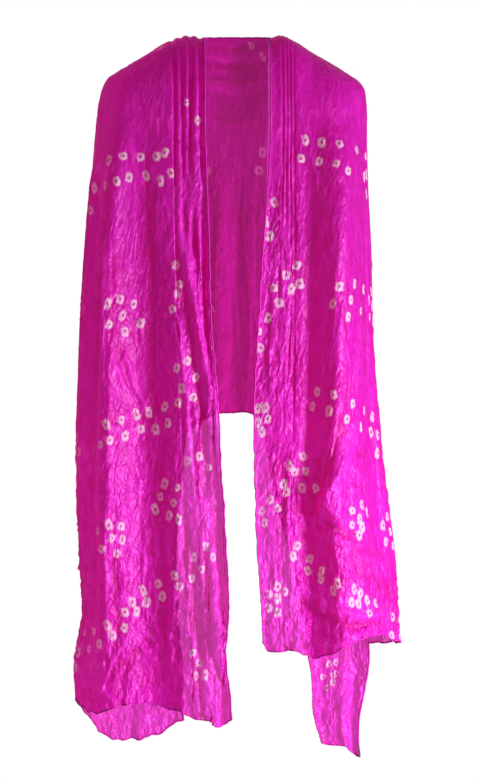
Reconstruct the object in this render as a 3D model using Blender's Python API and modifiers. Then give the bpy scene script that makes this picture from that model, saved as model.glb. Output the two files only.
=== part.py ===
"""A tie-dyed dupatta stole in the hollow form it takes over a pair of shoulders.

Metres, +Z up, +Y to the back of the wearer. The origin is on the midline at the height
where the stole rests beside the neck. One rectangular cloth hangs from there: a
gathered band and a wide panel fall in front on each side, wrap round the arms to the
back, and the back hangs as a shorter sheet between them.
"""

import bmesh
import bpy
import numpy as np

WALL = 0.0012
SEAM_GAP = 0.0004
HEM_WIDTH = 0.0030
HEM_WALL = 0.0018
HEM_GAP = 0.0009
CORNER_GAP = 0.0018
LEFT, RIGHT = -1, 1

CLOTH_PINK = (0.78, 0.03, 0.55, 1.0)
HEM_PINK = (0.62, 0.015, 0.38, 1.0)

# Stations along one side's cross-section, from the inner front edge (0) round the arm
# (1) to the inner edge of the back layer (2).
INNER, BAND, VALLEY, RIDGE, SIDE, REAR_CORNER, REAR_MIDDLE, REAR_END = (
    0.0, 0.25, 0.45, 0.75, 1.0, 1.25, 1.6, 2.0,
)
STATIONS = (INNER, BAND, VALLEY, RIDGE, SIDE, REAR_CORNER, REAR_MIDDLE, REAR_END)
YOKE_FRONT = 0.9
YOKE_BACK = 1.12
SHOULDER_ROUNDNESS = 2.3

# How the cloth lies at each drop below the neck: how far from the midline each
# station is, then how far in front of or behind the shoulder line.
SECTION_COLUMNS = (
    "drop", "inner", "band", "valley", "ridge", "side", "rear_end",
    "band_depth", "valley_depth", "ridge_depth", "rear_depth",
)
LEFT_SECTIONS = (
    (0.10, 0.0460, 0.0945, 0.134, 0.176, 0.2050, 0.052, 0.062, 0.060, 0.040, 0.068),
    (0.18, 0.0435, 0.0950, 0.140, 0.190, 0.2130, 0.058, 0.082, 0.074, 0.072, 0.083),
    (0.30, 0.0390, 0.0930, 0.143, 0.199, 0.2243, 0.064, 0.096, 0.082, 0.094, 0.088),
    (0.42, 0.0360, 0.0900, 0.143, 0.201, 0.2325, 0.068, 0.102, 0.084, 0.104, 0.088),
    (0.54, 0.0263, 0.0855, 0.143, 0.201, 0.2370, 0.070, 0.104, 0.084, 0.108, 0.085),
    (0.66, 0.0195, 0.0825, 0.142, 0.203, 0.2380, 0.080, 0.104, 0.083, 0.108, 0.080),
    (0.78, 0.0125, 0.0810, 0.140, 0.206, 0.2335, 0.088, 0.103, 0.082, 0.102, 0.074),
    (0.86, 0.0092, 0.0765, 0.136, 0.204, 0.2295, 0.087, 0.102, 0.082, 0.096, 0.068),
    (0.93, 0.0138, 0.0725, 0.131, 0.200, 0.2400, 0.080, 0.100, 0.082, 0.090, 0.064),
    (0.985, 0.0072, 0.0712, 0.129, 0.199, 0.2395, 0.078, 0.099, 0.082, 0.088, 0.062),
    (1.06, 0.0030, 0.0700, 0.128, 0.198, 0.2330, 0.073, 0.098, 0.082, 0.086, 0.060),
)
RIGHT_SECTIONS = (
    (0.10, 0.0555, 0.0915, 0.112, 0.162, 0.1975, 0.050, 0.064, 0.062, 0.046, 0.068),
    (0.18, 0.0525, 0.0915, 0.112, 0.168, 0.1983, 0.048, 0.083, 0.080, 0.080, 0.083),
    (0.30, 0.0435, 0.0938, 0.114, 0.167, 0.2020, 0.045, 0.094, 0.088, 0.106, 0.088),
    (0.42, 0.0360, 0.0930, 0.114, 0.165, 0.2063, 0.042, 0.098, 0.090, 0.115, 0.088),
    (0.54, 0.0293, 0.0915, 0.112, 0.160, 0.2130, 0.040, 0.100, 0.091, 0.119, 0.085),
    (0.66, 0.0300, 0.0870, 0.108, 0.157, 0.2235, 0.056, 0.100, 0.091, 0.121, 0.081),
    (0.78, 0.0345, 0.0870, 0.110, 0.165, 0.2400, 0.085, 0.100, 0.090, 0.119, 0.075),
    (0.86, 0.0405, 0.0900, 0.116, 0.172, 0.2438, 0.102, 0.099, 0.090, 0.115, 0.070),
    (0.94, 0.0420, 0.0900, 0.118, 0.175, 0.2448, 0.114, 0.098, 0.090, 0.111, 0.066),
)

# The shoulder line, from beside the neck (0) to the tip of the shoulder (1).
CREST_COLUMNS = ("share", "out", "height")
LEFT_CREST = (
    (0.00, 0.0480, 0.000), (0.14, 0.0720, 0.004), (0.278, 0.1000, -0.005),
    (0.50, 0.1350, -0.026), (0.70, 0.1650, -0.044), (0.833, 0.1830, -0.055),
    (0.90, 0.1920, -0.062), (0.95, 0.1985, -0.075), (1.00, 0.2050, -0.100),
)
RIGHT_CREST = (
    (0.00, 0.0525, 0.000), (0.14, 0.0700, 0.004), (0.278, 0.0915, -0.006),
    (0.50, 0.1180, -0.024), (0.70, 0.1480, -0.041), (0.833, 0.1720, -0.056),
    (0.90, 0.1855, -0.065), (0.95, 0.1940, -0.077), (1.00, 0.1975, -0.100),
)

# Where the shoulder passes into the hanging part, and where the cloth ends.
RING_COLUMNS = ("station", "drop")
RING = (
    (0.0, 0.140), (0.45, 0.140), (0.75, 0.125), (1.0, 0.100), (1.25, 0.112),
    (1.6, 0.120), (2.0, 0.120),
)
HEM_COLUMNS = ("station", "drop")
LEFT_HEM = (
    (0.00, 1.023), (0.045, 1.032), (0.09, 1.034), (0.13, 1.029), (0.17, 1.023),
    (0.21, 1.020), (0.25, 1.014),
    (0.35, 1.006), (0.45, 0.998), (0.55, 0.999), (0.65, 1.003), (0.75, 1.011),
    (0.85, 1.010), (0.93, 0.998), (1.00, 0.986), (1.12, 1.000), (1.25, 1.023),
    (1.40, 1.047), (1.60, 1.050), (1.80, 1.045), (1.90, 1.030), (2.00, 1.021),
)
RIGHT_HEM = (
    (0.00, 0.909), (0.05, 0.919), (0.12, 0.920), (0.17, 0.916), (0.25, 0.919),
    (0.35, 0.924), (0.45, 0.928), (0.55, 0.927), (0.65, 0.921), (0.72, 0.912),
    (0.80, 0.899), (0.90, 0.896), (1.00, 0.905), (1.12, 0.906), (2.00, 0.906),
)

# Folds of the gathered bands, from the inner edge out: the share of the band's width
# and the depth of each at the neck and at the hem.
FOLD_COLUMNS = ("share_top", "share_hem", "depth_top", "depth_hem")
LEFT_FOLDS = (
    (0.26, 0.30, 0.0050, 0.0062),
    (0.30, 0.26, 0.0055, 0.0060),
    (0.24, 0.27, 0.0042, 0.0048),
    (0.20, 0.17, 0.0035, 0.0040),
)
RIGHT_FOLDS = (
    (0.38, 0.36, 0.0022, 0.0040),
    (0.17, 0.18, 0.0044, 0.0050),
    (0.15, 0.16, 0.0040, 0.0044),
    (0.14, 0.15, 0.0042, 0.0046),
    (0.16, 0.15, 0.0034, 0.0040),
)
FOLD_OVERHANG = 0.75
BAND_FADE_AT_CREST = 0.75
FIRST_STEP = 0.34

# Long soft folds of the panels: station at the top and at the hem, width along the
# section, depth outwards, and the drops between which each one shows.
PANEL_FOLD_COLUMNS = ("station_top", "station_hem", "width", "depth", "from_drop", "to_drop")
LEFT_PANEL_FOLDS = (
    (0.82, 0.80, 0.020, 0.0060, 0.13, 0.92),
    (0.885, 0.90, 0.016, -0.0080, 0.13, 0.86),
    (0.62, 0.66, 0.026, 0.0040, 0.20, 1.10),
    (0.50, 0.56, 0.022, -0.0035, 0.30, 1.10),
    (0.36, 0.38, 0.024, 0.0040, 0.25, 1.10),
    (1.32, 1.28, 0.034, 0.0060, 0.25, 1.10),
    (1.52, 1.48, 0.034, -0.0050, 0.30, 1.10),
    (1.74, 1.72, 0.034, 0.0060, 0.30, 1.10),
)
RIGHT_PANEL_FOLDS = (
    (0.56, 0.50, 0.024, -0.0040, 0.20, 0.95),
    (0.66, 0.62, 0.022, 0.0040, 0.28, 0.95),
    (0.86, 0.84, 0.022, -0.0040, 0.34, 0.95),
    (0.93, 0.94, 0.020, 0.0035, 0.40, 0.95),
    (1.30, 1.32, 0.034, 0.0060, 0.25, 0.95),
    (1.50, 1.52, 0.034, -0.0050, 0.30, 0.95),
    (1.72, 1.70, 0.034, 0.0060, 0.30, 0.95),
)
FOLD_EASE = 0.10

# The sheet across the back: its hem, and the swags that lie across it below the neck.
BACK_HEM_COLUMNS = ("share", "drop")
BACK_HEM = ((0.0, 0.592), (0.2, 0.574), (0.4, 0.563), (0.6, 0.562), (0.8, 0.561), (1.0, 0.572))
NECK_BOW = 0.046
NECK_ROUNDNESS = 1.25
BACK_BOW = 0.006
SWAG_COLUMNS = ("drop", "width", "depth")
BACK_SWAGS = ((0.006, 0.006, 0.0030), (0.020, 0.008, -0.0024), (0.036, 0.010, 0.0030),
              (0.058, 0.012, -0.0028), (0.086, 0.014, 0.0030))
BACK_FOLD_COLUMNS = ("share", "width", "depth")
BACK_FOLDS = ((0.16, 0.10, 0.0040), (0.40, 0.12, -0.0040), (0.62, 0.12, 0.0045),
              (0.84, 0.10, -0.0040))

# The corner of the right end that hangs lower behind the front hem.
TAIL_FROM_COLUMN = 6
TAIL_COLUMNS = ("drop", "left", "right", "depth")
TAIL = (
    (0.90, 0.1080, 0.2040, 0.067),
    (0.94, 0.1150, 0.2000, 0.064),
    (0.98, 0.1165, 0.1938, 0.062),
    (1.02, 0.1190, 0.1860, 0.061),
    (1.055, 0.1290, 0.1850, 0.060),
    (1.08, 0.1310, 0.1868, 0.060),
)
TAIL_HEM_COLUMNS = ("share", "drop")
TAIL_HEM = ((0.0, 1.057), (0.10, 1.059), (0.25, 1.060), (0.5, 1.061), (0.72, 1.064),
            (0.85, 1.072), (0.95, 1.078), (1.0, 1.078))
TAIL_FOLD_COLUMNS = ("share_top", "share_hem", "width", "depth")
TAIL_FOLDS = ((0.22, 0.16, 0.13, 0.0035), (0.52, 0.66, 0.11, -0.0050),
              (0.74, 0.86, 0.10, 0.0060))

# How finely each stretch is divided: columns across, rows down.
COLUMNS_PER_FOLD = 5
HANGING_ROWS = 15
YOKE_ROWS = 8
FRONT_COLUMNS = 12
REAR_BAND_COLUMNS = 3
BACK_COLUMNS, BACK_LOWER_ROWS = 10, 9
TAIL_ROWS = 5
STEP = 1e-4


def column(table, names, name):
    return np.array([row[names.index(name)] for row in table])


def through(knots, values, at):
    """The smooth curve through the values at the knots, read at the places given.

    Values may have more columns than one. Past the ends it keeps the end's value.
    """
    knots = np.asarray(knots, float)
    values = np.asarray(values, float)
    slopes = np.gradient(values, knots, axis=0)
    at = np.clip(np.asarray(at, float), knots[0], knots[-1])
    left = np.clip(np.searchsorted(knots, at, side="right") - 1, 0, len(knots) - 2)
    span = knots[left + 1] - knots[left]
    s = (at - knots[left]) / span
    if values.ndim > 1:
        s, span = s[..., None], span[..., None]
    return (
        (2 * s**3 - 3 * s**2 + 1) * values[left]
        + (s**3 - 2 * s**2 + s) * span * slopes[left]
        + (3 * s**2 - 2 * s**3) * values[left + 1]
        + (s**3 - s**2) * span * slopes[left + 1]
    )


def across(stations, values, at):
    """As through(), where each point has its own row of values at the stations."""
    stations = np.asarray(stations, float)
    slopes = np.gradient(values, stations, axis=1)
    at = np.clip(at, stations[0], stations[-1])
    left = np.clip(np.searchsorted(stations, at, side="right") - 1, 0, len(stations) - 2)
    rows = np.arange(len(at))
    span = stations[left + 1] - stations[left]
    s = (at - stations[left]) / span
    return (
        (2 * s**3 - 3 * s**2 + 1) * values[rows, left]
        + (s**3 - 2 * s**2 + s) * span * slopes[rows, left]
        + (3 * s**2 - 2 * s**3) * values[rows, left + 1]
        + (s**3 - s**2) * span * slopes[rows, left + 1]
    )


def ease(x):
    x = np.clip(x, 0.0, 1.0)
    return x * x * (3 - 2 * x)


def unit(vectors):
    return vectors / np.maximum(np.linalg.norm(vectors, axis=-1, keepdims=True), 1e-12)


class Side:
    """One side of the stole: its section tables, crest, hem and folds."""

    def __init__(self, sign, sections, crest, hem, folds, panel_folds):
        self.sign = sign
        self.drops = column(sections, SECTION_COLUMNS, "drop")
        self.table = {n: column(sections, SECTION_COLUMNS, n) for n in SECTION_COLUMNS}
        self.crest_share = column(crest, CREST_COLUMNS, "share")
        self.crest_points = np.stack(
            [column(crest, CREST_COLUMNS, "out"), column(crest, CREST_COLUMNS, "height")], 1
        )
        self.hem_station = column(hem, HEM_COLUMNS, "station")
        self.hem_drop = column(hem, HEM_COLUMNS, "drop")
        self.folds = folds
        self.panel_folds = panel_folds

    def size(self, name, drop):
        return through(self.drops, self.table[name], drop)

    def hem(self, station):
        return through(self.hem_station, self.hem_drop, station)

    def section(self, station, drop):
        """Points of the plain section, before any fold."""
        station, drop = np.broadcast_arrays(
            np.asarray(station, float), np.asarray(drop, float)
        )
        shape = station.shape
        station, drop = station.ravel(), drop.ravel()
        side, rear_end = self.size("side", drop), self.size("rear_end", drop)
        band_depth, rear = self.size("band_depth", drop), self.size("rear_depth", drop)
        out = np.stack(
            [
                self.size("inner", drop),
                self.size("band", drop),
                self.size("valley", drop),
                self.size("ridge", drop),
                side,
                side - 0.020,
                0.5 * (side + rear_end),
                rear_end,
            ],
            1,
        )
        back = np.stack(
            [
                -band_depth,
                -band_depth,
                -self.size("valley_depth", drop),
                -self.size("ridge_depth", drop),
                0.004 + 0.0 * drop,
                0.66 * rear,
                rear,
                rear,
            ],
            1,
        )
        points = np.stack(
            [
                self.sign * across(STATIONS, out, station),
                across(STATIONS, back, station),
                -drop,
            ],
            1,
        )
        return points.reshape(*shape, 3)

    def outward(self, station, drop):
        """The unit direction that points out of the hollow, across the section."""
        along = self.section(station + STEP, drop) - self.section(station - STEP, drop)
        down = self.section(station, drop + STEP) - self.section(station, drop - STEP)
        return unit(self.sign * np.cross(along, down))

    def panel_fold(self, station, drop):
        """How far the panels' folds push the cloth outwards."""
        speed = np.linalg.norm(
            self.section(station + STEP, drop) - self.section(station - STEP, drop), axis=-1
        ) / (2 * STEP)
        total = np.zeros(np.shape(station))
        for row in self.panel_folds:
            fold = dict(zip(PANEL_FOLD_COLUMNS, row))
            share = np.clip(drop / self.drops[-1], 0, 1)
            centre = fold["station_top"] + share * (fold["station_hem"] - fold["station_top"])
            away = (station - centre) * speed / fold["width"]
            shown = ease((drop - fold["from_drop"]) / FOLD_EASE)
            shown = shown * ease((fold["to_drop"] - drop) / FOLD_EASE)
            total = total + fold["depth"] * shown * np.exp(-away * away)
        return total

    def curtain(self, station, drop):
        """Points of the hanging cloth outside the gathered band."""
        station, drop = np.broadcast_arrays(
            np.asarray(station, float), np.asarray(drop, float)
        )
        push = self.panel_fold(station, drop)
        return self.section(station, drop) + push[..., None] * self.outward(station, drop)

    def crest(self, share):
        out, height = np.moveaxis(
            through(self.crest_share, self.crest_points, share), -1, 0
        )
        return np.stack([self.sign * out, 0.004 * ease(share), height], -1)

    def ring_drop(self, station):
        return through(
            column(RING, RING_COLUMNS, "station"), column(RING, RING_COLUMNS, "drop"), station
        )

    def yoke(self, share, turn):
        """Points over the shoulder: turn runs from -1 in front, over the crest, to 1 behind."""
        share, turn = np.broadcast_arrays(np.asarray(share, float), np.asarray(turn, float))
        arch = self.arch(share, turn)
        edge = self.arch(np.ones_like(share), turn)
        station = np.where(
            turn < 0, 1 + turn * (1 - YOKE_FRONT), 1 + turn * (YOKE_BACK - 1)
        )
        round_arm = self.section(station, self.ring_drop(station))
        return arch + (share**6)[..., None] * (round_arm - edge)

    def arch(self, share, turn):
        front = share * YOKE_FRONT
        behind = REAR_END - share * (REAR_END - YOKE_BACK)
        station = np.where(turn < 0, front, behind)
        foot = self.section(station, self.ring_drop(station))
        top = self.crest(share)
        angle = np.abs(turn) * np.pi / 2
        out = np.sin(angle) ** (2 / SHOULDER_ROUNDNESS)
        down = np.cos(angle) ** (2 / SHOULDER_ROUNDNESS)
        mix = np.stack([out, out, 1 - down], -1)
        return top + (foot - top) * mix

    def band(self, phase, drop=None, turn=None):
        """Points of the gathered band, by fold phase, hanging (drop) or over the crest (turn).

        Each whole phase is one fold. The path swings across the band's own line and
        leans back over itself, so that the folds stand like soft pleats.
        """
        count = len(self.folds)
        hangs = turn is None
        given = drop if hangs else turn
        phase, given = np.broadcast_arrays(
            np.asarray(phase, float), np.asarray(given, float)
        )
        low = np.clip(given / self.drops[-1], 0, 1) if hangs else 0.0 * given
        edges = np.arange(count + 1)
        top_edges = np.cumsum([0] + [fold[0] for fold in self.folds])
        hem_edges = np.cumsum([0] + [fold[1] for fold in self.folds])
        leaning = phase - FOLD_OVERHANG * np.sin(4 * np.pi * (phase - 0.25)) / (4 * np.pi)
        share = (1 - low) * through(edges, top_edges, leaning)
        share = share + low * through(edges, hem_edges, leaning)
        middle = np.arange(count) + 0.5
        depth = (1 - low) * through(
            middle, column(self.folds, FOLD_COLUMNS, "depth_top"), phase
        ) + low * through(middle, column(self.folds, FOLD_COLUMNS, "depth_hem"), phase)
        swing = depth * (1 - np.cos(2 * np.pi * phase))
        if hangs:
            station = share * BAND
            return self.curtain(station, given) + swing[..., None] * self.outward(
                station, given
            )
        reach = share * BAND / YOKE_FRONT
        along = self.yoke(reach + STEP, given) - self.yoke(reach - STEP, given)
        over = self.yoke(reach, np.minimum(given + STEP, 1)) - self.yoke(
            reach, np.maximum(given - STEP, -1)
        )
        normal = unit(-self.sign * np.cross(along, over))
        fade = np.where(
            given < 0,
            1 - (1 - BAND_FADE_AT_CREST) * ease(1 + given),
            BAND_FADE_AT_CREST * ease(1 - given),
        )
        return self.yoke(reach, given) + (swing * fade)[..., None] * normal


left_side = Side(LEFT, LEFT_SECTIONS, LEFT_CREST, LEFT_HEM, LEFT_FOLDS, LEFT_PANEL_FOLDS)
right_side = Side(RIGHT, RIGHT_SECTIONS, RIGHT_CREST, RIGHT_HEM, RIGHT_FOLDS, RIGHT_PANEL_FOLDS)


def back_hem_drop(share):
    return through(
        column(BACK_HEM, BACK_HEM_COLUMNS, "share"), column(BACK_HEM, BACK_HEM_COLUMNS, "drop"), share
    )


def back_hem_share(side):
    """How far down the side's back edge the back sheet's hem meets it."""
    ring = side.ring_drop(REAR_END)
    drop = back_hem_drop(0.0 if side is left_side else 1.0)
    return float((drop - ring) / (side.hem(REAR_END) - ring))


def hanging_shares(side):
    """Shares of the way from the ring to the hem, with a pair of rows at the back hem."""
    s = np.linspace(0, 1, HANGING_ROWS + 1)
    s = s - 0.05 * np.sin(2 * np.pi * s)
    meeting = back_hem_share(side)
    nearest = np.argmin(abs(s - meeting))
    s[nearest] = meeting
    return np.insert(s, nearest, meeting - 0.004)


def hanging_drops(side, station):
    ring = side.ring_drop(station)
    return ring + hanging_shares(side)[:, None] * (side.hem(station) - ring)


def yoke_turns():
    return np.linspace(-1, 1, YOKE_ROWS + 1)


def yoke_side_stations():
    turn = yoke_turns()
    return np.where(turn < 0, 1 + turn * (1 - YOKE_FRONT), 1 + turn * (YOKE_BACK - 1))


def band_grid(side):
    """The gathered band, from its hem up and over the shoulder to behind the neck."""
    count = len(side.folds)
    phase = np.linspace(0, count, count * COLUMNS_PER_FOLD + 1)
    phase[1] = FIRST_STEP
    return band_over(side, phase)


def band_over(side, phase):
    """The band at these phases, a row for each hanging row and then for each turn."""
    station = phase / len(side.folds) * BAND
    shares = hanging_shares(side)[::-1][:, None]
    ring = side.ring_drop(station)
    hanging = side.band(phase, drop=ring + shares * (side.hem(station) - ring))
    over = side.band(phase, turn=yoke_turns()[1:, None])
    return np.concatenate([hanging, over])


def front_curtain_grid(side):
    """The front panel and the cloth round the arm, from the ring to the hem."""
    front = np.linspace(BAND, YOKE_FRONT, FRONT_COLUMNS + 1)
    station = np.concatenate([front, yoke_side_stations()[1:]])[None, :]
    return side.curtain(station, hanging_drops(side, station))


def yoke_grid(side):
    """The panel's cloth over the shoulder, whose edges lie on the curtain's top row."""
    share = np.linspace(BAND / YOKE_FRONT, 1, FRONT_COLUMNS + 1)
    grid = side.yoke(share[None, :], yoke_turns()[:, None])
    curtain_top = front_curtain_grid(side)[0]
    grid[0] = curtain_top[: FRONT_COLUMNS + 1]
    grid[:, -1] = curtain_top[FRONT_COLUMNS:]
    return grid


def rear_grid(side):
    """The layer behind, from the ring to its hem and in to the cloth's long edge."""
    panel = np.linspace(1, BAND / YOKE_FRONT, FRONT_COLUMNS + 1)
    band = np.linspace(BAND / YOKE_FRONT, 0, REAR_BAND_COLUMNS + 1)[1:]
    station = (REAR_END - np.concatenate([panel, band]) * (REAR_END - YOKE_BACK))[None, :]
    return side.curtain(station, hanging_drops(side, station))


def neck_edge(side, drop):
    """The line where the back sheet meets the side, from the neck down."""
    ring = side.ring_drop(REAR_END)
    foot = side.section(REAR_END, ring)
    top = side.crest(0.0)
    down = np.clip((ring - drop) / (ring + top[2]), 0, 1)
    out = (1 - down**SHOULDER_ROUNDNESS) ** (1 / SHOULDER_ROUNDNESS)
    above = top + (foot - top) * np.stack([out, out, 0 * out], -1)
    below = side.curtain(np.full_like(drop, REAR_END), np.maximum(drop, ring))
    points = np.where((drop < ring)[..., None], above, below)
    points[..., 2] = -drop
    return points


def back_point(share, drop):
    """The sheet across the back, bowed round the neck and swagged below it."""
    share, drop = np.broadcast_arrays(share, drop)
    start, end = neck_edge(left_side, drop), neck_edge(right_side, drop)
    base = start + share[..., None] * (end - start)
    middle = (4 * share * (1 - share)) ** NECK_ROUNDNESS
    bow = BACK_BOW + (NECK_BOW - BACK_BOW) * (1 - ease(drop / 0.16))
    push = bow * middle
    for row in BACK_SWAGS:
        swag = dict(zip(SWAG_COLUMNS, row))
        away = (drop - swag["drop"] - 0.006 * middle) / swag["width"]
        push = push + swag["depth"] * np.exp(-away * away) * middle
    for row in BACK_FOLDS:
        fold = dict(zip(BACK_FOLD_COLUMNS, row))
        away = (share - fold["share"]) / fold["width"]
        show = ease((drop - 0.12) / 0.2) * middle
        push = push + fold["depth"] * np.exp(-away * away) * show
    base[..., 1] += push
    return base


def back_grid():
    """The back sheet: rows that follow the band's turn over the crest, then to the hem."""
    ring = left_side.ring_drop(REAR_END)
    turn = yoke_turns()[YOKE_ROWS // 2 :]
    upper = ring * (1 - np.cos(turn * np.pi / 2) ** (2 / SHOULDER_ROUNDNESS))
    share = np.linspace(0, 1, BACK_COLUMNS + 1)[None, :]
    lower = np.linspace(0, 1, BACK_LOWER_ROWS + 1)[1:, None]
    drop = np.concatenate(
        [upper[:, None] + 0 * share, ring + lower * (back_hem_drop(share) - ring)]
    )
    return back_point(share, drop)


def tail_grid(rear):
    """The low corner, from the rear layer's last row down."""
    top = rear[-1, TAIL_FROM_COLUMN:][::-1]
    share = (top[:, 0] - top[0, 0]) / (top[-1, 0] - top[0, 0])
    hem = through(
        column(TAIL_HEM, TAIL_HEM_COLUMNS, "share"), column(TAIL_HEM, TAIL_HEM_COLUMNS, "drop"), share
    )
    down = np.linspace(0, 1, TAIL_ROWS + 1)[:, None]
    drop = -top[:, 2] + down * (hem + top[:, 2])
    drops = column(TAIL, TAIL_COLUMNS, "drop")
    left = through(drops, column(TAIL, TAIL_COLUMNS, "left"), drop)
    right = through(drops, column(TAIL, TAIL_COLUMNS, "right"), drop)
    settle = ease(down * 2.5)
    out = top[:, 0] + settle * (left + share * (right - left) - top[:, 0])
    depth = through(drops, column(TAIL, TAIL_COLUMNS, "depth"), drop)
    depth = top[:, 1] + settle * (depth - top[:, 1])
    for row in TAIL_FOLDS:
        fold = dict(zip(TAIL_FOLD_COLUMNS, row))
        centre = fold["share_top"] + down * (fold["share_hem"] - fold["share_top"])
        away = (share - centre) / fold["width"]
        depth = depth + fold["depth"] * np.exp(-away * away) * settle
    return np.stack([out, depth, -drop], -1)


def drawn_back(edge, inside, distance):
    """The edge's points, moved into the cloth by the distance."""
    distance = np.broadcast_to(distance, edge.shape[:-1])
    return edge + unit(inside - edge) * distance[..., None]


def seam_distance(edge, inside, other_inside):
    """How far each wall draws back so that two that meet at an angle stay apart."""
    cosine = np.sum(unit(inside - edge) * unit(other_inside - edge), -1)
    half = np.sqrt((1 + cosine) / np.maximum(1 - cosine, 1e-3))
    return SEAM_GAP / 2 + WALL / 2 * np.minimum(half, 2.0)


def slant(edge, inside):
    """How much longer a step into the cloth is where the edge runs aslant to it."""
    tangent = unit(np.gradient(edge, axis=0))
    across_it = np.linalg.norm(np.cross(unit(inside - edge), tangent), axis=-1)
    return 1 / np.maximum(across_it, 0.6)


def strip(edge, inside):
    """A rolled hem: its outer line, then the line where the cloth begins."""
    return np.stack([edge, drawn_back(edge, inside, HEM_WIDTH * slant(edge, inside))])


def beyond_hem(edge, inside):
    """The cloth's edge where a rolled hem lies beyond it."""
    return drawn_back(edge, inside, (HEM_WIDTH + HEM_GAP) * slant(edge, inside))


def part_side_by_side(first, second):
    """Draws the first grid's last column and the second's first column apart."""
    distance = seam_distance(first[:, -1], first[:, -2], second[:, 1])
    first_edge = drawn_back(first[:, -1], first[:, -2], distance)
    second[:, 0] = drawn_back(second[:, 0], second[:, 1], distance)
    first[:, -1] = first_edge


def material(name, colour):
    made = bpy.data.materials.new(name)
    made.use_nodes = True
    shader = made.node_tree.nodes["Principled BSDF"]
    shader.inputs["Base Color"].default_value = colour
    shader.inputs["Roughness"].default_value = 0.45
    shader.inputs["Metallic"].default_value = 0.0
    return made


def laid_grid(bm, points, flip):
    """Lays a flat grid of quads on the rows and columns of points."""
    rows, columns = points.shape[:2]
    made = bmesh.ops.create_grid(bm, x_segments=columns - 1, y_segments=rows - 1, size=1)
    corners = sorted(made["verts"], key=lambda v: (round(v.co.y, 5), round(v.co.x, 5)))
    for corner, point in zip(corners, points.reshape(-1, 3)):
        corner.co = point
    if flip:
        faces = {face for corner in corners for face in corner.link_faces}
        bmesh.ops.reverse_faces(bm, faces=list(faces))


def clear_of_ends(hem, first, last):
    """The hem's two lines, drawn back along themselves at the first and the last end."""
    hem = hem.copy()
    start = drawn_back(hem[:, 0], hem[:, 1], first)
    end = drawn_back(hem[:, -1], hem[:, -2], last)
    hem[:, 0], hem[:, -1] = start, end
    return hem


def cloth_stretch(name, grids, collection, colour, flip=False, thickness=WALL):
    """One stretch of cloth: joined grids with the wall's thickness."""
    bm = bmesh.new()
    for points in grids:
        laid_grid(bm, points, flip)
    bmesh.ops.remove_doubles(bm, verts=bm.verts, dist=1e-6)
    mesh = bpy.data.meshes.new(name)
    bm.to_mesh(mesh)
    bm.free()
    mesh.materials.append(colour)
    mesh.shade_smooth()
    stretch = bpy.data.objects.new(name, mesh)
    collection.objects.link(stretch)
    wall = stretch.modifiers.new("wall", "SOLIDIFY")
    wall.thickness = thickness
    wall.offset = 0
    wall.use_even_offset = True
    wall.thickness_clamp = 1.0
    wall.use_quality_normals = True
    return stretch


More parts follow.
